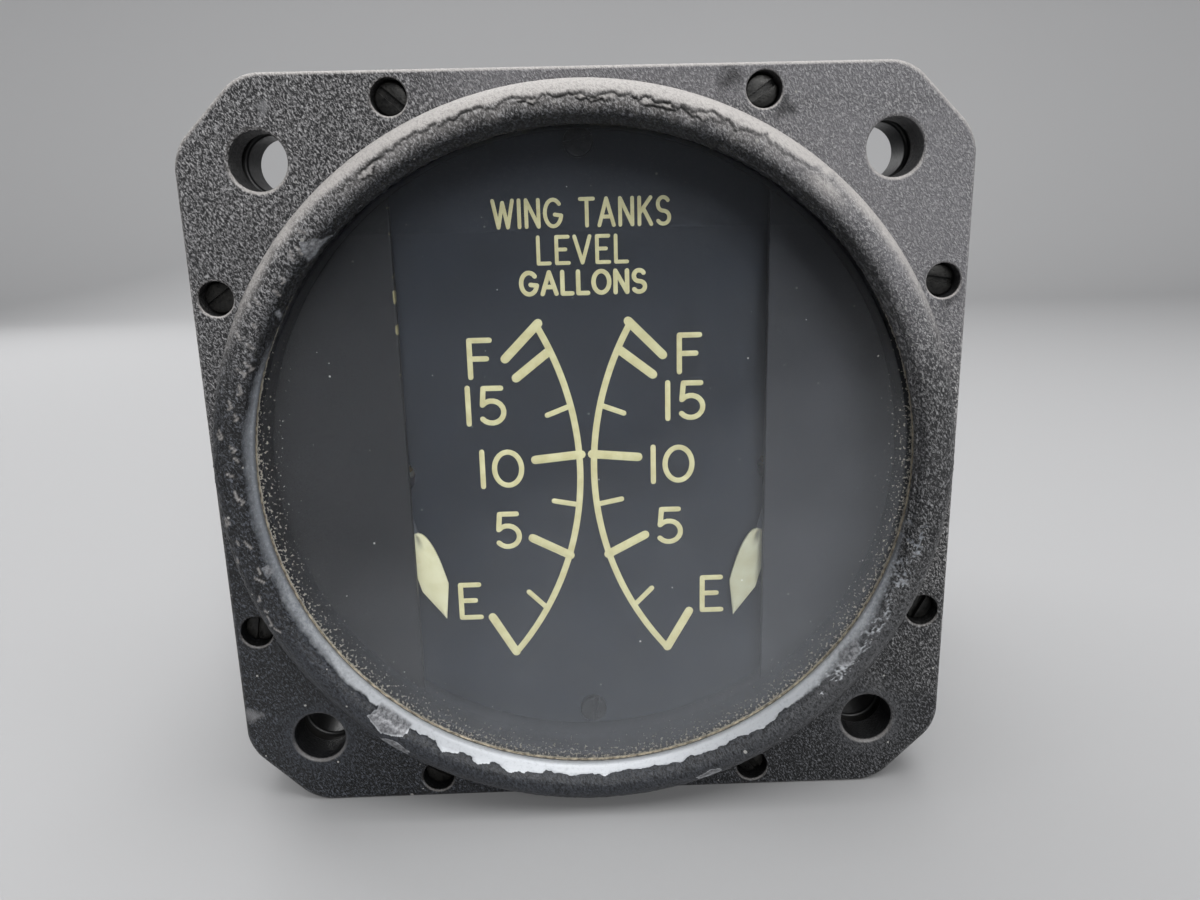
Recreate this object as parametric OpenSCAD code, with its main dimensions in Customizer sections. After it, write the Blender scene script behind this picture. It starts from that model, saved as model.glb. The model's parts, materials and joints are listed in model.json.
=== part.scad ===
// Twin-pointer aircraft fuel gauge, 2 1/4 inch panel size, mounted from behind the panel.
// X runs to the right, Y runs back from the panel, Z runs up.
// The origin is the centre of the front face of the square flange, which lies on the panel.

/* [Flange and bezel] */
// Width of the square flange
flange_w = 59.4; // [50:0.1:80]
// Leg of the cut corner
corner_leg = 5.2; // [3.5:0.1:6]
// Rounding of the cut corner's ends
corner_round = 1.2; // [0.4:0.1:2]
// Thickness of the bezel plate
bezel_t = 3.25; // [2.9:0.05:4]
// Distance of a panel hole's centre from the flange's edges
hole_inset = 6.125; // [5.5:0.005:7]
// Diameter of a panel hole
panel_hole_d = 4.3; // [3.6:0.1:4.6]
// Distance of a bezel screw's centre from the flange's edge
screw_inset = 1.885; // [1.7:0.005:2.1]
// Angle of a bezel screw from the nearest axis
screw_angle = 26.2; // [24:0.1:27.5]

/* [Bezel ring] */
// Set-back of the ring's outer wall from the flange's edges
ring_inset = 1.2; // [1.1:0.05:1.7]
// Width of the ring, from its outer wall to its lip
ring_w = 3.35; // [3.1:0.05:3.9]
// Height of the ring's crest above the flange
ring_h = 3.9; // [3.3:0.1:4.6]
// Height of the inner lip above the flange
lip_h = 2.95; // [2.4:0.05:3.2]
// Rounding of the ring's outer shoulder
crest_round = 1.5; // [0.9:0.1:1.8]
// Rounding of the inner lip
lip_round = 0.6; // [0.4:0.05:0.8]
// Height of the glass seat above the flange's front face
seat_h = 1.75; // [1.5:0.05:1.85]

/* [Glass] */
// Set-back of the glass's edge from the ring's outer wall
glass_inset = 1.1; // [1:0.05:1.3]
// Thickness of the glass
glass_t = 2; // [1.6:0.1:2.2]
// Thickness of the seal in front of the glass
seal_t = 0.25; // [0.15:0.05:0.35]
// Width of the seal and of the retaining ring
seal_w = 1.8; // [1.2:0.1:2]

/* [Case] */
// Thickness of the gasket between bezel and case
gasket_t = 1.1; // [0.8:0.1:1.6]
// Thickness of the case's flange
case_flange_t = 3.4; // [2.8:0.1:4]
// Set-back of the can from the flange's edges
case_inset = 1.5; // [1.3:0.05:1.8]
// Wall of the can
case_wall = 1.3; // [1.1:0.05:1.4]
// Depth of the case from the front of its flange
case_depth = 55.65; // [54.5:0.05:60]
// Wall at the rear of the case
rear_wall = 1.6; // [1.4:0.1:2.2]
// Rounding of the can's rear edge
case_round = 2.4; // [1.6:0.1:3]
// Radius of a boss for the movement plate
boss_r = 3.2; // [2.8:0.1:3.4]
// Length of a boss
boss_len = 14; // [11:0.5:18]
// Distance of the boss fronts behind the case's front face
boss_setback = 7.65; // [7.3:0.05:8.2]
// Distance of a boss's axis from the can's bore
boss_inset = 2.74; // [2.6:0.02:2.9]
// Direction of a boss from the level
boss_dir = 70.7; // [69:0.1:72]

/* [Bezel screws] */
// Radius of a bezel screw's head
bezel_head_r = 1.25; // [1.1:0.05:1.4]
// Thickness of a bezel screw's head
bezel_head_t = 1.1; // [0.9:0.1:1.3]
// Depth of the counterbore
counterbore_depth = 2.2; // [1.8:0.1:2.4]
// Radius of a bezel screw's shank
bezel_shank_r = 0.72; // [0.6:0.02:0.8]
// Width of a screw slot
slot_w = 0.4; // [0.3:0.05:0.5]
// Depth of a screw slot
slot_depth = 0.45; // [0.3:0.05:0.55]

/* [Dial and masks] */
// Thickness of the dial plate
dial_t = 0.8; // [0.6:0.1:1.1]
// Length of the posts that carry the dial
dial_post_len = 3; // [2.7:0.1:3.3]
// Radius of a dial post
dial_post_r = 1.4; // [1.2:0.05:1.5]
// Distance of the dial screws from the dial's edge
dial_screw_inset = 1.6; // [1.5:0.05:2]
// Radius of a dial screw's head
dial_head_r = 1.2; // [1:0.05:1.3]
// Thickness of a dial screw's head
dial_head_t = 0.7; // [0.5:0.05:0.9]
// Radius of a dial screw's shank
dial_shank_r = 0.5; // [0.4:0.02:0.55]
// Distance from a mask's straight edge to the pivot that it covers
mask_cover = 1.45; // [1.3:0.05:1.9]
// Thickness of a mask
mask_t = 0.6; // [0.4:0.1:0.8]
// Radius of a mask spacer
spacer_r = 1.1; // [0.9:0.1:1.4]
// Distance of a mask spacer's axis from the mask's round edge
spacer_inset = 1.6; // [1.5:0.05:2]

/* [Pointers] */
// Pivot height, below the middle
pivot_z = -2.3; // [-2.8:0.05:-1.8]
// Angle of a resting pointer below the level
rest_angle = 74.3; // [72:0.1:78]
// Travel of a pointer from its rest
pointer_travel = 128; // [118:1:132]
// Distance of a level pointer's tip from the middle
tip_gap = 2.5; // [2.1:0.1:4]
// Length of the leaf
leaf_len = 8.2; // [7.4:0.1:8.6]
// Width of the leaf
leaf_w = 2.4; // [1.8:0.1:2.8]
// Width of the stem
stem_w = 0.5; // [0.4:0.05:0.7]
// Length of the tail behind the pivot
tail_len = 4.6; // [4.3:0.1:5]
// Width of the tail
tail_w = 1; // [0.8:0.1:1.3]
// Thickness of a pointer
pointer_t = 0.3; // [0.2:0.05:0.4]
// Radius of the pointer's hub
hub_r = 1.1; // [0.9:0.05:1.3]
// Gap between a pointer and the dial
dial_gap = 0.6; // [0.5:0.05:0.8]
// Gap between a pointer and its mask
mask_gap = 0.5; // [0.4:0.05:0.7]
// Radius of a stop pin
stop_pin_r = 0.4; // [0.3:0.05:0.5]
// Distance of a stop pin from the pivot
stop_r = 3.6; // [3.3:0.1:3.9]

/* [Movement] */
// Thickness of the movement plate
plate_t = 1.6; // [1.3:0.1:1.8]
// Radius of the pointer's staff
staff_r = 0.4; // [0.35:0.01:0.45]
// Radius of the rotor magnet
rotor_r = 4.7; // [4.2:0.1:4.8]
// Thickness of the rotor magnet
rotor_t = 3; // [2.4:0.1:3.4]
// Half width of the bobbin's core
core_half = 5.8; // [5.6:0.05:5.9]
// Length of the bobbin's core
core_len = 12.6; // [12:0.1:14]
// Width of one side of a coil
coil_w = 3.2; // [2.8:0.1:3.2]
// Thickness of a coil
coil_t = 1.2; // [0.9:0.1:1.25]
// Half of the gap between the two sides of a coil
coil_gap_half = 1.4; // [1.35:0.05:1.5]
// Radius of the bobbin's nose
nose_r = 1.3; // [1.2:0.02:1.32]
// Radius of a front bearing
front_bearing_r = 0.9; // [0.8:0.02:1]
// Radius of a rear bearing
rear_bearing_r = 1.1; // [0.9:0.05:1.2]
// Length of a bearing
bearing_len = 2; // [1.7:0.1:2.2]
// Outer radius of the shield cup
cup_r = 9.4; // [9.3:0.02:9.5]
// Wall of the shield cup
cup_wall = 0.8; // [0.6:0.05:0.85]
// Distance of a shield cup's ears from its axis
ear_offset = 11.3; // [11.2:0.05:11.8]
// Radius of an ear
ear_r = 1.9; // [1.7:0.05:2.1]
// Radius of the return magnet
return_magnet_r = 1.2; // [0.8:0.05:1.25]
// Thickness of the return magnet
return_magnet_t = 1.6; // [1:0.1:2.4]

/* [Circuit board] */
// Length of a board post
board_post_len = 26; // [24:0.5:28]
// Width of a hexagonal board post, across its flats
board_post_w = 4.5; // [4:0.1:5]
// Board post offset from the middle, across
board_post_x = 4.5; // [4:0.1:5]
// Board post offset from the middle, up
board_post_z = 14; // [13:0.1:15]
// Set-back of the circuit board from the can's bore
board_inset = 3.4; // [2:0.1:4.5]
// Thickness of the circuit board
board_t = 1.6; // [1.2:0.1:2]
// Length of a trimmer's body
trimmer_w = 9.5; // [8:0.1:10]
// Distance of a trimmer's middle from the board's edge
trimmer_inset = 10; // [9.5:0.1:11]
// Height of a trimmer above the board
trimmer_h = 4.8; // [4:0.1:5.5]
// Length of a resistor's body
resistor_len = 6.4; // [5.5:0.1:7]
// Distance of a resistor's middle from the board's edge
resistor_inset = 11.5; // [10.5:0.1:12]
// Radius of a resistor's body
resistor_r = 1.15; // [0.9:0.05:1.25]

/* [Receptacle] */
// Width of the square connector flange
socket_flange_w = 30.2; // [29.5:0.1:31]
// Thickness of the connector flange
socket_flange_t = 2.8; // [2.4:0.1:3.2]
// Spacing of the connector screws, both ways
socket_pitch = 23; // [22.8:0.1:23.4]
// Outer radius of the connector barrel
barrel_r = 11.1; // [10.9:0.05:11.3]
// Bore radius of the connector barrel
barrel_bore_r = 9; // [8.8:0.05:9.2]
// Length of the barrel behind the flange
barrel_len = 12; // [11:0.5:14]
// Thickness of the connector gasket
socket_gasket_t = 0.8; // [0.6:0.1:1.2]
// Length of the insert
insert_len = 8.6; // [8:0.1:9]
// Distance of the insert's face from the barrel's mouth
insert_recess = 9.6; // [9.4:0.1:10.2]
// Length of a pin in front of the insert
pin_reach = 4.6; // [4:0.1:5]
// Radius of a pin
pin_r = 0.8; // [0.7:0.02:0.85]
// Length of a solder cup behind the insert
solder_len = 4; // [3:0.1:5]
// Radius of the circle of pins
pin_circle_r = 5; // [4.6:0.1:5.4]
// Radius of a lead wire
wire_r = 0.5; // [0.4:0.05:0.7]

/* [Machine screws] */
// Shank radius of the small machine screws
small_shank_r = 0.85; // [0.75:0.01:0.9]
// Head radius of the small machine screws
small_head_r = 1.65; // [1.5:0.05:1.8]
// Head thickness of the small machine screws
small_head_t = 1.1; // [0.9:0.1:1.3]
// Length of the small machine screws under the head
small_len = 6; // [5:0.5:7.5]
// Shank radius of a shield cup screw
ear_shank_r = 0.6; // [0.5:0.02:0.7]
// Head radius of a shield cup screw
ear_head_r = 1.2; // [1:0.05:1.35]
// Head thickness of a shield cup screw
ear_head_t = 0.9; // [0.7:0.1:1.1]
// Shank radius of a connector screw
socket_shank_r = 1.15; // [1:0.05:1.3]
// Head radius of a connector screw
socket_head_r = 2.3; // [2:0.05:2.6]
// Head thickness of a connector screw
socket_head_t = 1.7; // [1.4:0.1:2]

/* [Clearances] */
// Running clearance round a staff, on the radius
run_gap = 0.05; // [0.03:0.01:0.09]
// Clearance of a seated piece in its bore, on the radius
seat_gap = 0.02; // [0.01:0.01:0.04]
// Clearance of a screw shank in its thread, on the radius
thread_gap = 0.05; // [0.03:0.01:0.08]
// Clearance of a screw shank in a plain hole, on the radius
hole_gap = 0.2; // [0.15:0.05:0.3]
// Clearance of a screw head in its counterbore, on the radius
head_gap = 0.075; // [0.05:0.025:0.15]
// Clearance of the glass in the bezel, on the radius
glass_gap = 0.1; // [0.05:0.05:0.15]
// Clearance of the dial and the movement plate in the can, on the radius
bore_gap = 0.4; // [0.3:0.05:0.6]
// Clearance of a mask in the can, on the radius
mask_bore_gap = 0.5; // [0.4:0.05:0.7]
// Clearance of a shield cup in the can
cup_gap = 1; // [0.9:0.05:1.3]
// Clearance of the rotor in its chamber
rotor_gap = 0.3; // [0.25:0.05:0.4]
// Clearance of a pointer's tail at its stop
stop_gap = 0.1; // [0.08:0.01:0.15]
// Set-back of the gasket's edges
gasket_inset = 0.35; // [0.2:0.05:0.6]

/* [Hidden] */
$fn = 96;
// Overrun of a cut past the face that it opens
cut = 0.5;
// Half size of a tool that cuts everything on one side
far = 80;
both = [-1, 1];

// Places across, from the flange's edges inwards
flange_half = flange_w / 2;
hole_pitch = flange_w - 2 * hole_inset;
screw_circle_r = (flange_half - screw_inset) / cos(screw_angle);
ring_r = flange_half - ring_inset;
lip_r = ring_r - ring_w;
glass_r = ring_r - glass_inset;
case_r = flange_half - case_inset;
case_bore_r = case_r - case_wall;
dial_r = case_bore_r - bore_gap;
plate_r = case_bore_r - bore_gap;
mask_r = case_bore_r - mask_bore_gap;
pivot_x = case_bore_r - cup_r - cup_gap;
mask_x = pivot_x - mask_cover;
pointer_len = pivot_x - tip_gap;
dial_screw_z = dial_r - dial_screw_inset;
board_r = case_bore_r - board_inset;

// Places along Y, from the panel backwards
seal_y = -seat_h;
glass_y = seal_y + seal_t;
glass_back = glass_y + glass_t;
case_y = bezel_t + gasket_t;
case_flange_back = case_y + case_flange_t;
case_back = case_y + case_depth;
plate_back = case_y + boss_setback;
plate_y = plate_back - plate_t;
dial_back = plate_y - dial_post_len;
dial_y = dial_back - dial_t;
pointer_back = dial_y - dial_gap;
pointer_y = pointer_back - pointer_t;
mask_back = pointer_y - mask_gap;
mask_y = mask_back - mask_t;

// Bores and fits
recess_r = glass_r + glass_gap;
counterbore_r = bezel_head_r + head_gap;
staff_bore_r = staff_r + run_gap;

// Movement, from the plate backwards
post_clear = 0.6;
core_y = plate_back + post_clear + 2 * coil_t;
core_back = core_y + core_len;
split_y = core_y + core_len / 2;
bobbin_back = core_back + 2 * coil_t + post_clear;
rotor_y = split_y - rotor_t / 2;
chamber_r = rotor_r + rotor_gap;
chamber_half = rotor_t / 2 + rotor_gap;
coil_far = coil_gap_half + coil_w;
corner_post_w = core_half - coil_far;
staff_passage_r = 2 * staff_r;
nose_y = plate_y + 0.6;
rear_bearing_y = core_back - bearing_len;
bearing_floor = 0.6;
staff_end_gap = 0.1;
staff_front = mask_back + 0.25;
staff_back = core_back - bearing_floor - staff_end_gap;
cup_bore_r = cup_r - cup_wall;
cup_lead_hole_r = 2.2;
ear_t = cup_wall;

// Pointers and stops
rest_dir = -rest_angle;
stop_swing = asin((tail_w / 2 + stop_pin_r + stop_gap) / stop_r);
stop_dirs = [rest_dir + 180 - stop_swing, rest_dir + 180 + pointer_travel + stop_swing];
dial_hub_hole_r = hub_r + 0.5;
spacer_dirs = [31, -5, -37];

// Circuit board
board_y = plate_back + board_post_len;
board_back = board_y + board_t;
trimmer_x = board_r - trimmer_inset;
trimmer_z = 9;
resistor_x = board_r - resistor_inset;
resistor_rows = [-10, -7, -4];
resistor_lead_r = 0.3;
resistor_lead_out = 1.3;

// Receptacle
socket_flange_y = case_back + socket_gasket_t;
barrel_y = socket_flange_y + socket_flange_t;
barrel_mouth = barrel_y + barrel_len;
insert_face = barrel_mouth - insert_recess;
insert_y = insert_face - insert_len;
shell_neck_r = barrel_r - 0.8;
shell_neck_y = case_back - rear_wall - 1.2;
solder_y = insert_y - solder_len;
pin_count = 5;
pin_dirs = [for (i = [0 : pin_count - 1]) 90 + 360 / pin_count * (i + 0.5)];
key_w = 1.8;
key_h = 0.9;

// Slots of the bezel screws, as they were left by the last person who turned them
bezel_slot_dirs = [62, 20, 105, 140, 35, 80, 150, 10];

// Outline helpers
function unit(v) = v / norm(v);
function arc(centre, r, from, to, steps) =
    [for (i = [0 : steps]) centre + r * [cos(from + (to - from) * i / steps), sin(from + (to - from) * i / steps)]];
function round_corner(before, corner, after, r, steps) =
    let (
        a = unit(before - corner),
        b = unit(after - corner),
        half = acos(a * b) / 2,
        centre = corner + unit(a + b) * r / sin(half),
        start = corner + a * r / tan(half) - centre,
        end = corner + b * r / tan(half) - centre,
        from = atan2(start[1], start[0]),
        turn = (atan2(end[1], end[0]) - from + 540) % 360 - 180
    )
    arc(centre, r, from, from + turn, steps);
function rounded(points, r, steps = 5) =
    let (n = len(points))
    [for (i = [0 : n - 1]) each round_corner(points[(i + n - 1) % n], points[i], points[(i + 1) % n], r, steps)];
function rectangle(x0, y0, x1, y1) = [[x0, y0], [x1, y0], [x1, y1], [x0, y1]];
function cut_square(h, leg) =
    let (k = h - leg)
    [[h, -k], [h, k], [k, h], [-k, h], [-h, k], [-h, -k], [-k, -h], [k, -h]];
function polar(r, dir) = r * [cos(dir), sin(dir)];

panel_holes = [for (sx = both, sz = both) [sx, sz] * hole_pitch / 2];
bezel_screw_places = [for (quarter = [0 : 90 : 270], s = both) polar(screw_circle_r, quarter + s * screw_angle)];
boss_spot = polar(case_bore_r - boss_inset, boss_dir);
boss_places = [for (sx = both, sz = both) [sx * boss_spot[0], sz * boss_spot[1]]];
spacer_spots = [for (dir = spacer_dirs) polar(mask_r - spacer_inset, dir)];
spacer_places = [for (side = both, spot = spacer_spots) [side * spot[0], spot[1]]];
board_post_places = [for (sx = both, sz = both) [sx * board_post_x, sz * board_post_z]];
socket_screw_places = [for (sx = both, sz = both) [sx, sz] * socket_pitch / 2];
dial_post_places = [[0, dial_screw_z], [0, -dial_screw_z]];
ear_places = [[0, ear_offset], [0, -ear_offset]];
pin_places = [for (dir = pin_dirs) polar(pin_circle_r, dir)];

// Working planes: a slab is drawn in X and Z and reaches back from y
module slab(y, t) { translate([0, y + t, 0]) rotate([90, 0, 0]) linear_extrude(t) children(); }
// A turned piece is drawn as radius and place along Y
module turned() { rotate([90, 0, 0]) mirror([0, 0, 1]) rotate_extrude() children(); }
module at_each(places) { for (p = places) translate(p) children(); }
module at_pivot(side) { translate([side * pivot_x, 0, pivot_z]) children(); }
module left_of(side) { if (side < 0) children(); else mirror([1, 0, 0]) children(); }
module disc_ring(outer, inner) { difference() { circle(outer); circle(inner); } }

// A slotted screw whose head stands in front of the plane y and whose shank runs back
module screw(y, head_r, head_t, shank_r, length, slot_dir) {
    difference() {
        slab(y - head_t, head_t) circle(head_r);
        slab(y - head_t - cut, slot_depth + cut) rotate(slot_dir) square([3 * head_r, slot_w], center = true);
    }
    slab(y, length) circle(shank_r);
}

// The same screw turned round, with its shank running forwards
module rear_screw(y, head_r, head_t, shank_r, length, slot_dir) {
    translate([0, 2 * y, 0]) mirror([0, 1, 0]) screw(y, head_r, head_t, shank_r, length, slot_dir);
}

module flange_outline(inset = 0) {
    polygon(rounded(cut_square(flange_half - inset, corner_leg), corner_round));
}

module ring_profile() {
    crest = [ring_r - crest_round, crest_round - ring_h];
    lip = [lip_r + lip_round, lip_round - lip_h];
    slope = atan2(ring_h - lip_h, crest[0] - lip[0]);
    polygon(concat(
        [[lip_r, bezel_t], [ring_r, bezel_t]],
        arc(crest, crest_round, 0, -90 - slope, 10),
        arc(lip, lip_round, -90 - slope, -180, 5)
    ));
}

module bezel() {
    color("#2b2c2e") difference() {
        union() {
            slab(0, bezel_t) flange_outline();
            turned() ring_profile();
        }
        slab(-seat_h, seat_h + bezel_t + cut) circle(recess_r);
        slab(-cut, bezel_t) circle(lip_r);
        slab(-cut, bezel_t + 2 * cut) at_each(panel_holes) circle(d = panel_hole_d);
        slab(-cut, bezel_t + 2 * cut) at_each(bezel_screw_places) circle(bezel_shank_r + hole_gap);
        slab(-cut, counterbore_depth + cut) at_each(bezel_screw_places) circle(counterbore_r);
    }
}

module glass_seal() { color("#4a3a2a") slab(seal_y, seal_t) disc_ring(glass_r, glass_r - seal_w); }

module glass() { color([0.78, 0.84, 0.85, 0.35]) slab(glass_y, glass_t) circle(glass_r); }

module retaining_ring() {
    color("#3c3d40") slab(glass_back, bezel_t - glass_back) disc_ring(glass_r, glass_r - seal_w);
}

module case_gasket() {
    color("#151515") slab(bezel_t, gasket_t) difference() {
        flange_outline(gasket_inset);
        circle(case_bore_r);
        at_each(panel_holes) circle(panel_hole_d / 2 + gasket_inset);
        at_each(bezel_screw_places) circle(bezel_shank_r + hole_gap);
    }
}

module can_profile() {
    inner_round = case_round - case_wall;
    inner_back = case_back - rear_wall;
    difference() {
        polygon(concat(
            [[0, case_y], [case_r, case_y]],
            arc([case_r - case_round, case_back - case_round], case_round, 0, 90, 8),
            [[0, case_back]]
        ));
        polygon(concat(
            [[0, case_y - cut], [case_bore_r, case_y - cut]],
            arc([case_bore_r - inner_round, inner_back - inner_round], inner_round, 0, 90, 6),
            [[0, inner_back]]
        ));
    }
}

module case() {
    color("#303236") difference() {
        union() {
            slab(case_y, case_flange_t) difference() {
                flange_outline();
                circle(case_bore_r);
            }
            turned() can_profile();
            slab(plate_back, boss_len) intersection() {
                at_each(boss_places) circle(boss_r);
                circle(case_r - case_wall / 2);
            }
        }
        slab(case_y - cut, case_flange_t + 2 * cut) at_each(panel_holes) circle(d = panel_hole_d);
        slab(case_y - cut, case_flange_t + 2 * cut) at_each(bezel_screw_places) circle(bezel_shank_r + thread_gap);
        slab(plate_back - cut, small_len + cut) at_each(boss_places) circle(small_shank_r + thread_gap);
        slab(case_back - rear_wall - cut, rear_wall + 2 * cut) {
            circle(shell_neck_r + hole_gap);
            at_each(socket_screw_places) circle(socket_shank_r + thread_gap);
        }
    }
}

module bezel_screws() {
    grip = case_flange_back - counterbore_depth;
    color("#6b6a66") for (i = [0 : len(bezel_screw_places) - 1]) {
        place = bezel_screw_places[i];
        translate([place[0], 0, place[1]])
            screw(counterbore_depth, bezel_head_r, bezel_head_t, bezel_shank_r, grip, bezel_slot_dirs[i]);
    }
}

module mask(side) {
    color("#1b1c1f") slab(mask_y, mask_t) left_of(side) difference() {
        circle(mask_r);
        translate([-mask_x, -far]) square(2 * far);
    }
}
module left_mask() { mask(-1); }
module right_mask() { mask(1); }

module mask_spacers() {
    color("#8d8a80") slab(mask_back, dial_y - mask_back) at_each(spacer_places) circle(spacer_r);
}

module dial_plate() {
    color("#14171d") slab(dial_y, dial_t) difference() {
        circle(dial_r);
        for (side = both) translate([side * pivot_x, pivot_z]) circle(dial_hub_hole_r);
        at_each(dial_post_places) circle(dial_shank_r + hole_gap);
        stop_pin_places() circle(stop_pin_r + seat_gap);
    }
}

module dial_screws() {
    color("#5a5148") for (p = dial_post_places)
        translate([p[0], 0, p[1]])
            screw(dial_y, dial_head_r, dial_head_t, dial_shank_r, dial_t + dial_post_len * 0.8, 0);
}

// A post stands on the movement plate and its spigot is riveted into the plate
module dial_posts() {
    color("#b8a15c") difference() {
        union() {
            slab(dial_back, dial_post_len) at_each(dial_post_places) circle(dial_post_r);
            slab(plate_y, plate_t) at_each(dial_post_places) circle(dial_post_r / 2);
        }
        slab(dial_back - cut, dial_post_len * 0.9 + cut)
            at_each(dial_post_places) circle(dial_shank_r + thread_gap);
    }
}

// Leaf, stem and tail of a pointer that points along X, with its pivot at zero
module pointer_outline() {
    half = leaf_w / 2;
    widest = pointer_len - 0.37 * leaf_len;
    round_start = pointer_len - 0.57 * leaf_len;
    root = pointer_len - leaf_len;
    side = concat(
        [[pointer_len, 0], [widest, half]],
        [for (i = [0 : 8]) [
            round_start + (root - round_start) * sin(i * 90 / 8),
            stem_w / 2 + (half - stem_w / 2) * cos(i * 90 / 8)
        ]],
        [[0, stem_w / 2]]
    );
    polygon(concat(side, [for (i = [len(side) - 1 : -1 : 1]) [side[i][0], -side[i][1]]]));
    translate([-tail_len, -tail_w / 2]) square([tail_len, tail_w]);
    circle(hub_r);
}

module pointer(side) {
    color("#e9e2bd") at_pivot(side) left_of(side) slab(pointer_y, pointer_t) difference() {
        rotate(rest_dir) pointer_outline();
        circle(staff_r + seat_gap);
    }
}
module left_pointer() { pointer(-1); }
module right_pointer() { pointer(1); }

module staff(side) {
    color("#c9c9c4") at_pivot(side) slab(staff_front, staff_back - staff_front) circle(staff_r);
}
module left_staff() { staff(-1); }
module right_staff() { staff(1); }

module rotor(side) {
    color("#4e5054") at_pivot(side) slab(rotor_y, rotor_t) disc_ring(rotor_r, staff_r + seat_gap);
}
module left_rotor() { rotor(-1); }
module right_rotor() { rotor(1); }

module stop_pin_places() {
    for (side = both)
        translate([side * pivot_x, pivot_z]) left_of(side) for (dir = stop_dirs) translate(polar(stop_r, dir)) children();
}
module stop_pins() {
    color("#b8a15c") slab(pointer_y, dial_back - pointer_y) stop_pin_places() circle(stop_pin_r);
}

module movement_plate() {
    color("#a9abad") slab(plate_y, plate_t) difference() {
        circle(plate_r);
        at_each(boss_places) circle(small_shank_r + hole_gap);
        at_each(board_post_places) circle(small_shank_r + hole_gap);
        at_each(dial_post_places) circle(dial_post_r / 2 + seat_gap);
        for (side = both) translate([side * pivot_x, pivot_z]) {
            circle(nose_r + seat_gap);
            at_each(ear_places) circle(ear_shank_r + thread_gap);
        }
    }
}

module plate_screws() {
    color("#b3b3ae") for (p = boss_places)
        translate([p[0], 0, p[1]]) screw(plate_y, small_head_r, small_head_t, small_shank_r, small_len, p[0] * p[1]);
}

module core_square() { square(2 * core_half, center = true); }
module corner_posts() {
    for (sx = both, sz = both) translate([sx, sz] * (coil_far + corner_post_w / 2)) square(corner_post_w, center = true);
}

module front_bobbin(side) {
    color("#d8d4c4") at_pivot(side) difference() {
        union() {
            slab(core_y, core_len / 2) core_square();
            slab(plate_back, core_y - plate_back) corner_posts();
            slab(nose_y, core_y - nose_y) circle(nose_r);
        }
        slab(split_y - chamber_half, chamber_half + cut) circle(chamber_r);
        slab(nose_y - cut, split_y - nose_y) circle(staff_passage_r);
        slab(nose_y - cut, bearing_len + cut) circle(front_bearing_r + seat_gap);
    }
}
module left_front_bobbin() { front_bobbin(-1); }
module right_front_bobbin() { front_bobbin(1); }

module rear_bobbin(side) {
    color("#d8d4c4") at_pivot(side) difference() {
        union() {
            slab(split_y, core_len / 2) core_square();
            slab(core_back, bobbin_back - core_back) corner_posts();
        }
        slab(split_y - cut, chamber_half + cut) circle(chamber_r);
        slab(split_y, core_len / 2 + cut) circle(staff_passage_r);
        slab(rear_bearing_y, bearing_len + cut) circle(rear_bearing_r + seat_gap);
    }
}
module left_rear_bobbin() { rear_bobbin(-1); }
module right_rear_bobbin() { rear_bobbin(1); }

// A winding is a flat loop round the core: half is its inner half width, from and to its inner ends along Y
module winding_loop(half, from, to) {
    difference() {
        polygon(rounded(rectangle(-half - coil_t, from - coil_t, half + coil_t, to + coil_t), coil_t));
        polygon(rectangle(-half, from, half, to));
    }
}

// The two sides of a coil pass on either side of the staff
module coil(half, from, to) {
    for (z = [-coil_far, coil_gap_half]) translate([0, 0, z]) linear_extrude(coil_w) winding_loop(half, from, to);
}

module inner_coil(side) { color("#9c5a2c") at_pivot(side) rotate([0, 90, 0]) coil(core_half, core_y, core_back); }
module left_inner_coil() { inner_coil(-1); }
module right_inner_coil() { inner_coil(1); }

module outer_coil(side) { color("#b06a34") at_pivot(side) coil(core_half, core_y - coil_t, core_back + coil_t); }
module left_outer_coil() { outer_coil(-1); }
module right_outer_coil() { outer_coil(1); }

module bearings(side) {
    color("#c8a24a") at_pivot(side) {
        slab(nose_y, bearing_len) disc_ring(front_bearing_r, staff_bore_r);
        difference() {
            slab(rear_bearing_y, bearing_len) circle(rear_bearing_r);
            slab(rear_bearing_y - cut, bearing_len - bearing_floor + cut) circle(staff_bore_r);
        }
    }
}
module left_bearings() { bearings(-1); }
module right_bearings() { bearings(1); }

module return_magnets() {
    color("#55575a") for (side = both) at_pivot(side) slab(core_back, return_magnet_t) circle(return_magnet_r);
}

module shield_cup(side) {
    color("#8f9296") at_pivot(side) {
        slab(plate_back, bobbin_back - plate_back) disc_ring(cup_r, cup_bore_r);
        slab(bobbin_back, cup_wall) disc_ring(cup_r, cup_lead_hole_r);
        slab(plate_back, ear_t) difference() {
            union() {
                at_each(ear_places) circle(ear_r);
                square([2 * ear_r, 2 * ear_offset], center = true);
            }
            circle((cup_r + cup_bore_r) / 2);
            at_each(ear_places) circle(ear_shank_r + hole_gap);
        }
    }
}
module left_shield_cup() { shield_cup(-1); }
module right_shield_cup() { shield_cup(1); }

module shield_screws() {
    color("#b3b3ae") for (side = both) at_pivot(side) for (p = ear_places)
        translate([p[0], 0, p[1]])
            rear_screw(plate_back + ear_t, ear_head_r, ear_head_t, ear_shank_r, plate_t + ear_t, side * p[1] * 5);
}

module board_posts() {
    color("#b8a15c") difference() {
        slab(plate_back, board_post_len) at_each(board_post_places) circle(board_post_w / sqrt(3), $fn = 6);
        for (y = [plate_back - cut, board_y - small_len])
            slab(y, small_len + cut) at_each(board_post_places) circle(small_shank_r + thread_gap);
    }
}

module post_screws() {
    color("#b3b3ae") for (p = board_post_places) translate([p[0], 0, p[1]]) {
        screw(plate_y, small_head_r, small_head_t, small_shank_r, small_len, p[0] * p[1]);
        rear_screw(board_back, small_head_r, small_head_t, small_shank_r, small_len, p[1] * 4);
    }
}

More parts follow.
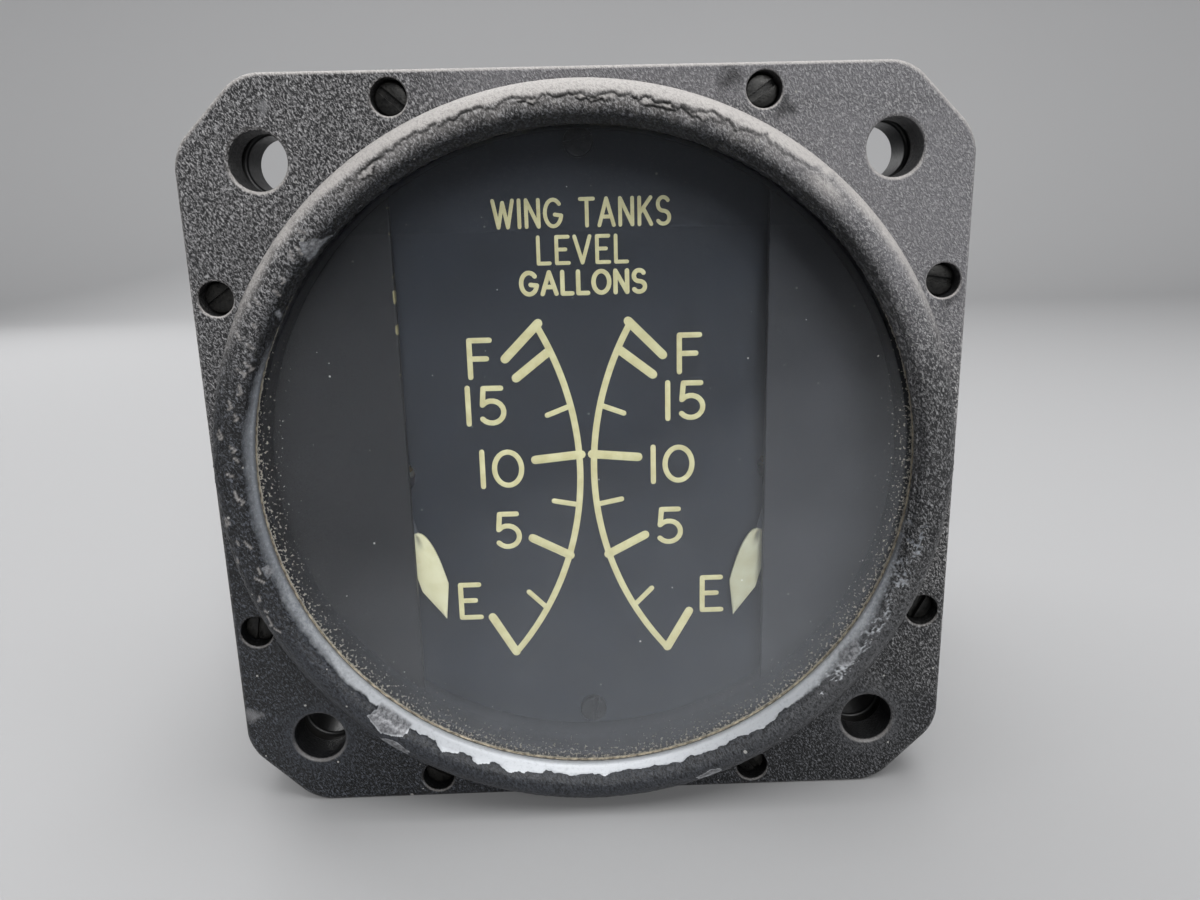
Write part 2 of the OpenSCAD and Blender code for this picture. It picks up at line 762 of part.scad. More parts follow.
module circuit_board() {
    color("#2f5a3a") slab(board_y, board_t) difference() {
        circle(board_r);
        at_each(board_post_places) circle(small_shank_r + hole_gap);
    }
}

// A square trimmer lies on the board with its adjusting screw on top
module trimmers() {
    dial_screw_r = trimmer_w / 5;
    color("#2c5f9e") for (side = both) translate([side * trimmer_x, 0, trimmer_z]) difference() {
        union() {
            slab(board_back, trimmer_h) square(trimmer_w, center = true);
            slab(board_back + trimmer_h, slot_depth * 2) circle(dial_screw_r);
        }
        slab(board_back + trimmer_h + slot_depth, slot_depth + cut)
            square([3 * dial_screw_r, slot_w], center = true);
    }
}

// A resistor's body lies on the board and its two leads turn down into it
module resistors() {
    axis_y = board_back + resistor_r;
    lead_x = resistor_len / 2 + resistor_lead_out;
    color("#b9946a") for (side = both, z = resistor_rows) translate([side * resistor_x, 0, z]) {
        translate([0, axis_y, 0]) rotate([0, 90, 0]) {
            cylinder(h = resistor_len, r = resistor_r, center = true);
            cylinder(h = 2 * lead_x + 2 * resistor_lead_r, r = resistor_lead_r, center = true);
        }
        for (s = both) translate([s * lead_x, 0, 0]) slab(board_back, resistor_r) circle(resistor_lead_r);
    }
}

module lead_wires() {
    color("#d6d2c8") slab(board_back, solder_y - board_back) at_each(pin_places) circle(wire_r);
}

module socket_flange_outline() {
    h = socket_flange_w / 2;
    polygon(rounded(rectangle(-h, -h, h, h), 2.5));
}

module connector_gasket() {
    color("#2a2a2a") slab(case_back, socket_gasket_t) difference() {
        socket_flange_outline();
        circle(shell_neck_r + hole_gap);
        at_each(socket_screw_places) circle(socket_shank_r + hole_gap);
    }
}

module connector_shell() {
    color("#9a9c8e") {
        difference() {
            union() {
                slab(socket_flange_y, socket_flange_t) socket_flange_outline();
                slab(barrel_y, barrel_len) circle(barrel_r);
                slab(shell_neck_y, socket_flange_y - shell_neck_y) circle(shell_neck_r);
            }
            slab(shell_neck_y - cut, barrel_mouth - shell_neck_y + 2 * cut) circle(barrel_bore_r);
            slab(socket_flange_y - cut, socket_flange_t + 2 * cut)
                at_each(socket_screw_places) circle(socket_shank_r + hole_gap);
        }
        slab(insert_face, insert_recess - key_h) intersection() {
            translate([0, barrel_bore_r]) square([key_w, 2 * key_h], center = true);
            circle((barrel_r + barrel_bore_r) / 2);
        }
    }
}

module connector_insert() {
    color("#3a3d42") slab(insert_y, insert_len) difference() {
        circle(barrel_bore_r - seat_gap);
        at_each(pin_places) circle(pin_r + seat_gap);
    }
}

module connector_pins() {
    color("#c9b06a") {
        slab(insert_y, insert_len + pin_reach) at_each(pin_places) circle(pin_r);
        slab(solder_y, solder_len) at_each(pin_places) circle(pin_r * 1.4);
    }
}

module connector_screws() {
    color("#b3b3ae") for (p = socket_screw_places) translate([p[0], 0, p[1]])
        rear_screw(barrel_y, socket_head_r, socket_head_t, socket_shank_r,
            socket_flange_t + socket_gasket_t + rear_wall, p[0] + 3 * p[1]);
}

bezel();
glass_seal();
glass();
retaining_ring();
case_gasket();
case();
bezel_screws();
left_mask();
right_mask();
mask_spacers();
dial_plate();
dial_screws();
dial_posts();
left_pointer();
right_pointer();
left_staff();
right_staff();
left_rotor();
right_rotor();
stop_pins();
movement_plate();
plate_screws();
left_front_bobbin();
right_front_bobbin();
left_rear_bobbin();
right_rear_bobbin();
left_inner_coil();
right_inner_coil();
left_outer_coil();
right_outer_coil();
left_bearings();
right_bearings();
return_magnets();
left_shield_cup();
right_shield_cup();
shield_screws();
board_posts();
post_screws();
circuit_board();
trimmers();
resistors();
lead_wires();
connector_gasket();
connector_shell();
connector_insert();
connector_pins();
connector_screws();
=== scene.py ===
# %% [markdown]
# # A twin-pointer fuel gauge for an instrument panel
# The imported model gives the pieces, their places and the two turning pointers. This lesson gives them
# their looks: a cast bezel in black wrinkle enamel, a dusty glass, a printed dial under two masks, cream
# leaf pointers, and at the back a satin can with a threaded receptacle.
# Lengths are in millimetres while a piece is modelled and are scaled to metres when it is finished.
# X runs right, Y runs back from the panel and Z runs up; the dial faces -Y.

# %% Load the frame
import json
import math
import random

import bmesh
import bpy
from mathutils import Euler, Matrix, Vector, noise


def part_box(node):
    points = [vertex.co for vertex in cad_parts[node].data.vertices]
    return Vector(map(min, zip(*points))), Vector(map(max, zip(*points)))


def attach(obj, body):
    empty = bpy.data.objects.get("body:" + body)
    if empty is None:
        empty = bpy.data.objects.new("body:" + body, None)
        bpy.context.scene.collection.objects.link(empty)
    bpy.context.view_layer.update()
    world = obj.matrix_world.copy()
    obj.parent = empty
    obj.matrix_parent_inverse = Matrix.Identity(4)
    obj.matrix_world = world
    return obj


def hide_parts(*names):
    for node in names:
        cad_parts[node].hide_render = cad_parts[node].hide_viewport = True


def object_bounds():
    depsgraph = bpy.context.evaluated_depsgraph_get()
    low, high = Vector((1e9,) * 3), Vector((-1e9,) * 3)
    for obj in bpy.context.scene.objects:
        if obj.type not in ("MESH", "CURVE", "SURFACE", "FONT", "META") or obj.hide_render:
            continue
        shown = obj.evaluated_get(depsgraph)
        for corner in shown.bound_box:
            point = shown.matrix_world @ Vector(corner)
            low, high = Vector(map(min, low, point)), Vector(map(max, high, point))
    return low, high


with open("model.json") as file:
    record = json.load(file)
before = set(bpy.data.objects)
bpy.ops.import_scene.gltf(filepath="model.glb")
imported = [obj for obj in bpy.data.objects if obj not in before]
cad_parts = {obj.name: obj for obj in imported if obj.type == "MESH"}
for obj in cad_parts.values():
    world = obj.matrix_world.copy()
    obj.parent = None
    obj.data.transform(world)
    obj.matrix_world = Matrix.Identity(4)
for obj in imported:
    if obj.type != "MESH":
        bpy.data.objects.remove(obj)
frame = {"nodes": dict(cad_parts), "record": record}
cad_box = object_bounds()
MM = 0.001


def cad_mm(node):
    """Lowest and highest corner of a CAD node, in millimetres."""
    low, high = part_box(node)
    return Vector(low) / MM, Vector(high) / MM


# %% [markdown]
# ## Camera
# The view was found by fitting a plain pinhole camera to the flange's edges and holes. Guessing by eye
# would also work, but a fitted view lets every printed tick be compared with the picture.
# The near clip is small because the gauge is only seven centimetres away.

# %% Camera
SENSOR_MM = 36.0
LENS_MM = 27.56
NEAR_CLIP = 0.002
CAMERA_MM = (-0.41, -71.03, 18.71)
CAMERA_TURN = (76.02, 1.346, -1.502)

camera_data = bpy.data.cameras.new("camera")
camera_data.sensor_width = SENSOR_MM
camera_data.lens = LENS_MM
camera_data.clip_start = NEAR_CLIP
camera = bpy.data.objects.new("camera", camera_data)
camera.location = Vector(CAMERA_MM) * MM
camera.rotation_euler = Euler([math.radians(a) for a in CAMERA_TURN], "XYZ")
bpy.context.collection.objects.link(camera)
bpy.context.scene.camera = camera
bpy.context.scene.view_settings.view_transform = "Standard"
print("camera looks down", round(90 - CAMERA_TURN[0], 1), "degrees")

# %% [markdown]
# ## Finishes: small helpers
# Every finish is a node tree on Object coordinates, so that it stays on the piece in any view. Linking such
# a tree socket by socket takes many lines and hides what it works out. Here a value on its way through the
# tree is a Wire: arithmetic on it adds the Math node that does the sum, and `spread` maps it between two
# ends, so the tree reads like the sum it stands for.

# %% Wires


def plug(value, socket):
    """Link a wire to a socket, or set a plain value there."""
    if isinstance(value, Wire):
        value.tree.links.new(value.socket, socket)
    else:
        socket.default_value = value


def add_node(tree, kind, inputs, output=0, **settings):
    """Add a node, set it up, plug its inputs and give one of its outputs as a wire."""
    made = tree.nodes.new("ShaderNode" + kind)
    for name, value in settings.items():
        setattr(made, name, value)
    for key, value in inputs.items():
        plug(value, made.inputs[key])
    return Wire(made.outputs[output])


class Wire:
    """A value in a node tree; arithmetic on it adds Math nodes."""

    def __init__(self, socket):
        self.socket = socket
        self.tree = socket.id_data

    def maths(self, operation, first, second):
        return add_node(self.tree, "Math", {0: first, 1: second}, operation=operation)

    def __add__(self, other):
        return self.maths("ADD", self, other)

    def __sub__(self, other):
        return self.maths("SUBTRACT", self, other)

    def __rsub__(self, other):
        return self.maths("SUBTRACT", other, self)

    def __mul__(self, other):
        return self.maths("MULTIPLY", self, other)

    def __pow__(self, other):
        return self.maths("POWER", self, other)

    def below(self, other):
        return self.maths("LESS_THAN", self, other)

    def larger(self, other):
        return self.maths("MAXIMUM", self, other)

    def smaller(self, other):
        return self.maths("MINIMUM", self, other)

    def spread(self, low, high, to_low=0.0, to_high=1.0):
        """Map low to to_low and high to to_high, and hold the ends beyond them."""
        ends = {"From Min": low, "From Max": high, "To Min": to_low, "To Max": to_high}
        return add_node(self.tree, "MapRange", {"Value": self, **ends})


def mixed(share, first, second):
    """A colour between two others."""
    return add_node(share.tree, "Mix", {0: share, 6: first, 7: second}, 2, data_type="RGBA")


def rgb(*levels):
    """A colour written as it looks on a screen, 0 to 255, as linear light."""
    linear = [(c / 255 / 12.92) if c <= 10 else ((c / 255 + 0.055) / 1.055) ** 2.4 for c in levels]
    return (*linear, 1.0)


print("wires ready; mid grey is", round(rgb(128, 128, 128)[0], 3))

# %% Finishes and patterns


class Finish:
    """A material with its shader, and the point on the piece in millimetres."""

    def __init__(self, name):
        self.material = bpy.data.materials.new(name)
        self.material.use_nodes = True
        self.tree = self.material.node_tree
        self.shader = self.tree.nodes["Principled BSDF"]
        place = add_node(self.tree, "TexCoord", {}, "Object")
        self.point = add_node(self.tree, "Mapping", {"Vector": place, "Scale": (1 / MM, 1 / MM, 1 / MM)})

    def painted(self, weight):
        """A weight that the mesh carries at its points."""
        return add_node(self.tree, "Attribute", {}, "Fac", attribute_name=weight)

    def shade(self, **inputs):
        """Plug the shader's own sockets."""
        for name, value in inputs.items():
            plug(value, self.shader.inputs[name.replace("_", " ")])

    def relief(self, height, depth_mm, strength=1.0):
        """Bump of a height between 0 and 1, this many millimetres deep."""
        bump = {"Height": height, "Distance": depth_mm * MM, "Strength": strength}
        self.shade(Normal=add_node(self.tree, "Bump", bump))


def axes(point):
    made = point.tree.nodes.new("ShaderNodeSeparateXYZ")
    plug(point, made.inputs[0])
    return [Wire(socket) for socket in made.outputs]


def distance(point, centre):
    return add_node(point.tree, "VectorMath", {0: point, 1: centre}, "Value", operation="DISTANCE")


def grain(point, per_mm, detail=3.0, rough=0.55, twist=0.0):
    """Cloudy noise with about per_mm lumps in a millimetre."""
    looks = {"Scale": per_mm, "Detail": detail, "Roughness": rough, "Distortion": twist}
    return add_node(point.tree, "TexNoise", {"Vector": point, **looks})


def fray(point, width, per_mm, detail=3.0, rough=0.55):
    """Noise about zero, this wide, that breaks up a border."""
    return (grain(point, per_mm, detail, rough) - 0.5) * width


def dots(point, per_mm, size):
    """1 inside scattered round dots whose radius is a share of their spacing."""
    return add_node(point.tree, "TexVoronoi", {"Vector": point, "Scale": per_mm}).below(size)


print("patterns ready: grain, fray and dots")

# %% [markdown]
# ## Wrinkle enamel
# The casting is sprayed with enamel that shrivels as it dries, so it is a mat of fine lumps about a sixth of
# a millimetre wide, combed a little aslant. It is paler above and on the right: partly chalky paint, partly
# painted light from above and a painted sheen on the right. It is smooth and pale in the upper right corner
# and along the top, and smoother, fresher and darker below. The lumps, this paleness and the marks come from
# noise and from the place on the casting. What follows the casting's own shape is painted on the mesh as
# seven weights: wear, chips, grime, cracks with painted shade, rubbing with a painted highlight, fresh paint
# with painted shade, and slick places. A picture could hold all this, but would not follow the casting when
# its size changes.

# %% Enamel: grain, age and painted light from above
FRESH_LOW, FRESH_HIGH, FRESH_RIGHT = rgb(15, 16, 18), rgb(84, 88, 96), rgb(116, 117, 120)
CHALKY_LIT_LOW, CHALKY_LIT_HIGH, CHALKY_LIT_RIGHT = rgb(38, 38, 40), rgb(186, 185, 186), rgb(208, 207, 206)
COMB_TURN = -0.52
COMB_STRETCH = (0.8, 1.0, 1.5)
LUMPS_PER_MM = 6.0
LOWER_HOLES = [(-23.6, 0.0, -23.6), (23.6, 0.0, -23.6)]
SLICK_HEIGHT = 0.56

enamel = Finish("wrinkle_paint")
point = enamel.point
right, back, up = axes(point)
drift = fray(point, 40.0, 0.09, 4.0, 0.6)
# Dark fresh paint where the mesh says so, partly painted shade on the ring's inner slope and sides.
open_to_light_and_wear = 1.0 - enamel.painted("shade_and_fresh_paint")
# Paler above and to the right: partly chalky age, partly painted light from above.
age_and_top_light = (up + right * 0.3 + drift).spread(-16.0, 10.0) * open_to_light_and_wear
comb = {"Vector": point, "Rotation": (0, COMB_TURN, 0), "Scale": COMB_STRETCH}
combed = add_node(enamel.tree, "Mapping", comb, vector_type="TEXTURE")
height = grain(combed, LUMPS_PER_MM, 2.0, 0.5, 0.8) * 0.75 + grain(point, 2 * LUMPS_PER_MM, 2.0, 0.6) * 0.25
from_hole = distance(point, LOWER_HOLES[0]).smaller(distance(point, LOWER_HOLES[1]))
slick = from_hole.spread(5.0, 2.6).larger(enamel.painted("slick"))
height = (slick * 0.7).spread(0.0, 1.0, height, SLICK_HEIGHT)
# Paler towards the right: a painted sheen.
rightward = right.spread(2.0, 26.0)
fresh = mixed(height.spread(0.50, 0.66), FRESH_LOW, mixed(rightward, FRESH_HIGH, FRESH_RIGHT))
chalky_and_lit = mixed(height.spread(0.46, 0.67), CHALKY_LIT_LOW, mixed(rightward, CHALKY_LIT_HIGH, CHALKY_LIT_RIGHT))
paint = mixed(age_and_top_light, fresh, chalky_and_lit)
print("enamel lumps:", round(1 / LUMPS_PER_MM, 2), "mm")

# %% Enamel: smooth places, marks, rubbing, painted highlight and painted shade
SMOOTH_PAINT = rgb(142, 141, 145)
SMOOTH_CORNER = (24.5, 0.0, 22.5)
RUBBED_AND_HIGHLIGHT = rgb(182, 178, 175)
SPECK = rgb(160, 159, 156)
CRACK_AND_SHADE_BLACK = rgb(9, 9, 9)
# Marks on the flange: x, z, radius and colour
MARKS = [
    (11.1, 28.6, 1.2, rgb(30, 30, 32)),
    (15.2, 26.5, 1.0, rgb(40, 40, 42)),
    (28.2, 12.6, 1.4, rgb(44, 43, 46)),
    (-29.1, -21.3, 0.9, rgb(124, 124, 126)),
    (-22.8, 27.4, 0.7, rgb(128, 128, 130)),
    (-20.6, -21.3, 0.6, rgb(120, 120, 122)),
]

corner = (distance(point, SMOOTH_CORNER) + drift).spread(24.0, 4.0, 0.0, 0.62) * open_to_light_and_wear
on_flange = back.spread(-0.4, -0.05, 0.0, 0.55)
top_strip = up.spread(25.5, 27.5) * right.spread(-14.0, -6.0) * on_flange
paint = mixed(corner.larger(top_strip), paint, SMOOTH_PAINT)
frayed = fray(point, 2.2, 1.2)
for mark_x, mark_z, mark_r, mark_colour in MARKS:
    from_mark = distance(point, (mark_x, 0.0, mark_z)) + frayed
    paint = mixed(from_mark.spread(mark_r, 0.3 * mark_r, 0.0, 0.7), paint, mark_colour)
paint = mixed(dots(point, 0.8, grain(point, 0.7, 2.0).spread(0.46, 0.75, 0.0, 0.16)), paint, SPECK)
# Rubbing and a painted highlight lighten the paint.
rub_and_highlight = enamel.painted("rub_and_highlight") * height.spread(0.40, 0.54, 0.75, 1.0)
# Cracks and painted shade darken the paint nearly to black.
paint = mixed(enamel.painted("crack_and_shade"), mixed(rub_and_highlight, paint, RUBBED_AND_HIGHLIGHT), CRACK_AND_SHADE_BLACK)
print(len(MARKS), "marks on the flange")

# %% Enamel: bare metal, dirt and shine
DIM_METAL, BARE_METAL = rgb(132, 136, 142), rgb(190, 193, 197)
CHIP_DARK, CHIP_PALE = rgb(84, 85, 88), rgb(152, 153, 156)
GRIME = rgb(204, 192, 170)
WORN_LOW_Z, WORN_HIGH_Z = -21.0, -17.0

# The border of the worn lip blurs higher up, a painted soft edge of a highlight.
soft_low = up.spread(WORN_LOW_Z, WORN_HIGH_Z, 0.48, 0.2)
soft_high = up.spread(WORN_LOW_Z, WORN_HIGH_Z, 0.58, 0.95)
wear = (enamel.painted("wear") + fray(point, 0.6, 2.6, 5.0, 0.65)).spread(soft_low, soft_high)
# Bare metal is brighter lower down: partly scuffs, partly a painted reflection on the upward-facing lip.
scuffs_and_reflection_below = grain(point, 3.5, 4.0, 0.7) + up.spread(-6.0, -19.0, -0.35, 0.12)
metal = mixed(scuffs_and_reflection_below.spread(0.15, 0.6), DIM_METAL, BARE_METAL)
mottled = mixed(grain(point, 3.0, 4.0, 0.7).spread(0.38, 0.62), CHIP_DARK, CHIP_PALE)
colour = mixed(wear, paint, mixed(enamel.painted("chipped"), metal, mottled))
grime = enamel.painted("grime")
crumbs = grain(point, 5.0, 3.0, 0.6).spread(0.48, 0.60)
dirt = grime * crumbs.larger(grime.spread(0.7, 1.0))
gloss = age_and_top_light.spread(0.0, 1.0, 0.36, 0.46)
enamel.shade(
    Base_Color=mixed(dirt * 0.85, colour, GRIME), Metallic=wear * 0.3,
    Roughness=wear.spread(0.0, 1.0, gloss, 0.4), Specular_IOR_Level=0.35,
)
smoothed = (rub_and_highlight * 0.75).larger(wear).spread(0.0, 1.0, 1.0, 0.15)
enamel.relief(height, 0.32, smoothed * age_and_top_light.spread(0.0, 1.0, 0.6, 1.0))
print("wrinkle enamel:", len(enamel.tree.nodes), "nodes")

# %% [markdown]
# ## Glass
# The glass is flat and two millimetres thick. A thin film dulls and pales it below and to the right: partly
# dust, partly a painted reflection. Specks and flecks lie on it and dirt has crept in from the lip; the
# flecks and the crept dirt fade out above, a painted shade of the upper pane. The shader is clear where the
# pane is clean and turns to dull dust where a mask says so; the dust lies on the front face only. Lamps pass
# through it by a Light Path switch, because a caustic through a real pane would leave the dial in noise.

# %% Glass finish
GLASS_FRONT_Y = -1.0
CLEAR = rgb(232, 238, 246)
FREE_DUST, LIP_DIRT = rgb(188, 187, 182), rgb(176, 171, 160)
LIP_REACH = 25.4
CREEP_FROM, CREEP_TO = 25.74, 25.82
FILM_AND_REFLECTION = 0.105

pane = Finish("glass")
point = pane.point
flat = add_node(pane.tree, "VectorMath", {0: point, 1: (1.0, 0.0, 1.0)}, operation="MULTIPLY")
reach = add_node(pane.tree, "VectorMath", {0: flat}, "Value", operation="LENGTH")
right, back, up = axes(point)
outer = back.below(GLASS_FRONT_Y)
specks = dots(flat, 0.55, grain(flat, 0.9, 2.0).spread(0.44, 0.78, 0.0, 0.075))
# Flecks and crept dirt fade out above: a painted shade of the upper pane.
low_down = up.spread(16.0, 2.0)
near_lip = reach.spread(19.5, LIP_REACH) ** 2.2
fleck_limit = (near_lip * low_down).spread(0.0, 1.0, 0.74, 0.53)
flecks = (grain(flat, 4.2, 3.0, 0.6) - fleck_limit).spread(0.0, 0.06, 0.0, 0.75)
crept = (reach + grain(flat, 2.5, 4.0, 0.75) * 0.5).spread(CREEP_FROM, CREEP_TO, 0.0, 0.9) * low_down
dust = (specks * 0.5).larger(flecks.larger(crept)) * outer
# The film is partly dust and partly a painted reflection, paler below and to the right.
dust_film_and_reflection = (right * 0.35 - up + fray(flat, 16.0, 0.12, 4.0, 0.6)).spread(-2.0, 24.0, 0.0, FILM_AND_REFLECTION) * outer
pane.shade(
    Base_Color=mixed(dust.spread(0.05, 0.3), CLEAR, mixed(near_lip, FREE_DUST, LIP_DIRT)),
    Transmission_Weight=1.0 - dust.larger(dust_film_and_reflection), Roughness=dust.spread(0.1, 0.5, 0.02, 0.6), IOR=1.4,
)
lamp_ray = add_node(pane.tree, "LightPath", {}, "Is Shadow Ray")
see_through = add_node(pane.tree, "BsdfTransparent", {})
switch = add_node(pane.tree, "MixShader", {0: lamp_ray, 1: Wire(pane.shader.outputs["BSDF"]), 2: see_through})
plug(switch, pane.tree.nodes["Material Output"].inputs["Surface"])
print("glass:", len(pane.tree.nodes), "nodes")

# %% [markdown]
# ## Dial, masks and cream paint
# The dial ground is a blue-black enamel and the masks a slightly browner one, both dull with fine dust. The
# straight edges of the masks are chipped, so their mesh carries a chip weight. Pointers and print share a
# cream paint that has yellowed unevenly. The right pointer's paint is darker than the left's, and the stems
# have lost their paint, which is a weight again; that weight also darkens the crease where the leaf meets the
# stem, a painted shade. One helper for each kind of paint is enough, as only colours differ.

# %% Dial and mask finishes
MASK_CHIP = rgb(132, 122, 86)
MASK_DUST = rgb(120, 116, 106)


def dusty_enamel(name, deep, pale, dust, rough):
    made = Finish(name)
    point = made.point
    colour = mixed(grain(point, 0.16, 5.0, 0.62).spread(0.38, 0.70), deep, pale)
    specks = dots(point, 0.7, grain(point, 0.5, 2.0).spread(0.45, 0.8, 0.0, 0.12))
    colour = mixed(specks * 0.55, colour, dust)
    colour = mixed(grain(point, 3.5, 2.0, 0.6).spread(0.56, 0.80, 0.0, 0.08), colour, dust)
    chip = (made.painted("chip") + fray(point, 1.1, 2.4, 4.0, 0.7)).spread(0.52, 0.62)
    fine = grain(point, 2.5, 2.0, 0.5)
    made.shade(
        Base_Color=mixed(chip, colour, MASK_CHIP),
        Roughness=fine.spread(0.3, 0.7, rough - 0.06, rough + 0.08), Specular_IOR_Level=0.35,
    )
    made.relief(fine, 0.001, 0.5)
    return made.material


dial_black = dusty_enamel("dial_black", rgb(15, 19, 25), rgb(21, 26, 34), rgb(112, 110, 100), 0.55)
mask_black = dusty_enamel("mask_black", rgb(29, 29, 30), rgb(40, 39, 41), MASK_DUST, 0.6)
left_mask_black = dusty_enamel("left_mask_black", rgb(15, 14, 14), rgb(24, 22, 22), MASK_DUST, 0.6)
print("dial and mask enamels ready")

# %% Cream paints
BARE_STEM_AND_CREASE_SHADE = rgb(56, 58, 62)


def cream_paint(name, pale, yellowed, per_mm):
    made = Finish(name)
    colour = mixed(grain(made.point, per_mm, 4.0, 0.6).spread(0.36, 0.68), pale, yellowed)
    fine = grain(made.point, 9.0, 2.0, 0.5)
    made.shade(
        Base_Color=mixed(made.painted("bare_and_crease_shade"), colour, BARE_STEM_AND_CREASE_SHADE), Roughness=fine.spread(0.3, 0.7, 0.52, 0.68)
    )
    made.relief(fine, 0.01, 0.5)
    return made.material


# The right pointer's cream is darker than the left's.
darker_cream = cream_paint("darker_cream", rgb(186, 181, 150), rgb(174, 167, 132), 0.7)
pointer_cream = cream_paint("pointer_cream", rgb(215, 208, 168), rgb(202, 192, 148), 0.7)
print_cream = cream_paint("print_cream", rgb(212, 202, 150), rgb(195, 182, 129), 0.9)
print("cream paints ready")

# %% [markdown]
# ## Can paint
# The can behind the panel is drawn aluminium in satin black paint. It has been handled and pushed through
# panel holes, so it carries fine scratches along its length and its rear edge is rubbed through to the metal.
# The scratches are noise stretched along Y. The rubbed edge lies where the distance back and the distance
# from the axis add up to most, which is read from the point itself; only the shade inside the panel holes
# is a painted weight.

# %% Can paint
CAN_DEEP, CAN_PALE = rgb(34, 35, 37), rgb(44, 45, 48)
CAN_SCRATCH = rgb(106, 106, 107)
CAN_METAL = rgb(150, 151, 153)
HOLE_SHADE = rgb(8, 8, 8)
CASE_R = cad_mm("bezel")[1].x - 1.5
CAN_EDGE = cad_mm("case")[1].y + CASE_R

can_paint = Finish("case_paint")
point = can_paint.point
colour = mixed(grain(point, 0.12, 5.0, 0.6).spread(0.36, 0.66), CAN_DEEP, CAN_PALE)
drawn = add_node(can_paint.tree, "Mapping", {"Vector": point, "Scale": (1.0, 0.06, 1.0)})
scratches = grain(drawn, 6.0, 3.0, 0.7).spread(0.63, 0.72, 0.0, 0.6) * grain(point, 0.2).spread(0.44, 0.6)
right, back, up = axes(point)
across = add_node(can_paint.tree, "CombineXYZ", {"X": right, "Z": up})
edge = distance(across, (0.0, 0.0, 0.0)) + back + fray(point, 3.2, 1.1, 5.0, 0.7)
brightened = edge.spread(CAN_EDGE - 1.2, CAN_EDGE - 0.8, 0.0, 0.85)
colour = mixed(brightened, mixed(scratches, colour, CAN_SCRATCH), CAN_METAL)
fine = grain(point, 3.2, 3.0, 0.6)
satin = fine.spread(0.3, 0.7, 0.40, 0.52)
can_paint.shade(
    Base_Color=mixed(can_paint.painted("shade"), colour, HOLE_SHADE), Metallic=brightened * 0.8,
    Roughness=brightened.spread(0.0, 1.0, satin, 0.35),
)
can_paint.relief(fine - scratches, 0.02, 0.5)
print("can paint:", len(can_paint.tree.nodes), "nodes")

# %% [markdown]
# ## Screws, receptacle and the pieces inside
# What is seen only at the back, through a hole or with the case off still gets a worked finish: two close
# colours in patches, a roughness that follows them and a fine relief. One helper and a table of values do it,
# because these surfaces differ in colour, grain and shine and not in kind. The CAD nodes that stay as
# they are get their finish here, by the slot that the record gives them.

# %% Table of worked finishes
# Name: dark and light colour, roughness, metallic, patches in a millimetre, relief in millimetres
WORKED = {
    "seal_rubber": ((26, 25, 24), (42, 40, 38), 0.72, 0.0, 1.2, 0.03),
    "caked_dirt": ((84, 77, 66), (214, 202, 178), 0.8, 0.0, 2.4, 0.03),
    "black_ring": ((30, 30, 32), (46, 46, 49), 0.5, 0.3, 1.5, 0.01),
    "screw_black": ((13, 13, 13), (44, 43, 41), 0.34, 0.5, 1.4, 0.02),
    "brass": ((150, 118, 62), (190, 156, 92), 0.34, 1.0, 0.8, 0.008),
    "steel": ((140, 140, 138), (182, 182, 178), 0.34, 1.0, 0.9, 0.01),
    "magnet": ((70, 71, 74), (98, 99, 102), 0.55, 0.6, 1.6, 0.02),
    "plate_aluminium": ((158, 160, 163), (192, 194, 196), 0.38, 1.0, 0.6, 0.012),
    "bobbin_plastic": ((206, 200, 180), (222, 216, 196), 0.5, 0.0, 0.5, 0.01),
    "copper_wire": ((146, 82, 42), (184, 110, 58), 0.32, 0.8, 2.5, 0.05),
    "board_green": ((34, 82, 52), (50, 104, 66), 0.4, 0.0, 0.8, 0.02),
    "trimmer_blue": ((32, 76, 140), (48, 96, 164), 0.36, 0.0, 0.6, 0.01),
    "resistor_tan": ((172, 136, 94), (196, 160, 116), 0.46, 0.0, 1.0, 0.01),
    "wire_white": ((204, 200, 188), (222, 218, 206), 0.5, 0.0, 0.8, 0.01),
    "olive_plate": ((104, 102, 74), (140, 134, 98), 0.42, 0.75, 0.45, 0.02),
    "insert_rubber": ((46, 48, 54), (62, 64, 70), 0.6, 0.0, 0.9, 0.02),
    "contact_gold": ((196, 160, 84), (222, 190, 116), 0.28, 1.0, 1.2, 0.005),
}


def worked_finish(name, dark, light, rough, metallic, per_mm, depth_mm):
    made = Finish(name)
    patches = grain(made.point, per_mm, 4.0, 0.62).spread(0.36, 0.68)
    fine = grain(made.point, per_mm * 4, 3.0, 0.6)
    made.shade(
        Base_Color=mixed(patches, rgb(*dark), rgb(*light)), Metallic=metallic,
        Roughness=fine.spread(0.3, 0.7, rough - 0.09, rough + 0.09),
    )
    made.relief(fine, depth_mm, 0.5)
    return made.material


finishes = {name: worked_finish(name, *values) for name, values in WORKED.items()}
finishes.update(
    case_paint=can_paint.material, wrinkle_paint=enamel.material, glass=pane.material,
    dial_black=dial_black, mask_black=mask_black, pointer_cream=pointer_cream,
)
for row in frame["record"]["subparts"]:
    for material_slot in frame["nodes"][row["node"]].material_slots:
        material_slot.link = "OBJECT"
        material_slot.material = finishes[row["material_slot"]]
frame["nodes"]["glass_seal"].material_slots[0].material = finishes["caked_dirt"]
print(len(finishes), "finishes on", len(frame["nodes"]), "CAD nodes")

# %% [markdown]
# ## Modelling helpers
# Pieces are drawn in millimetres in the frame's own axes. `finish_piece` merges doubles, turns the faces
# outwards, scales to metres, gives the piece its finish, hangs it on its body and hides the CAD nodes it
# replaces. `turned` spins a profile of radius and height, where height is measured forwards from the
# flange's face, so a lathe drawing can be copied straight in.

# %% Modelling helpers
MERGE_MM = 0.004
TURN = 2 * math.pi


def only(kind, geom):
    """The vertices, edges or faces among what an operator gives back."""
    return [part for part in geom if isinstance(part, kind)]


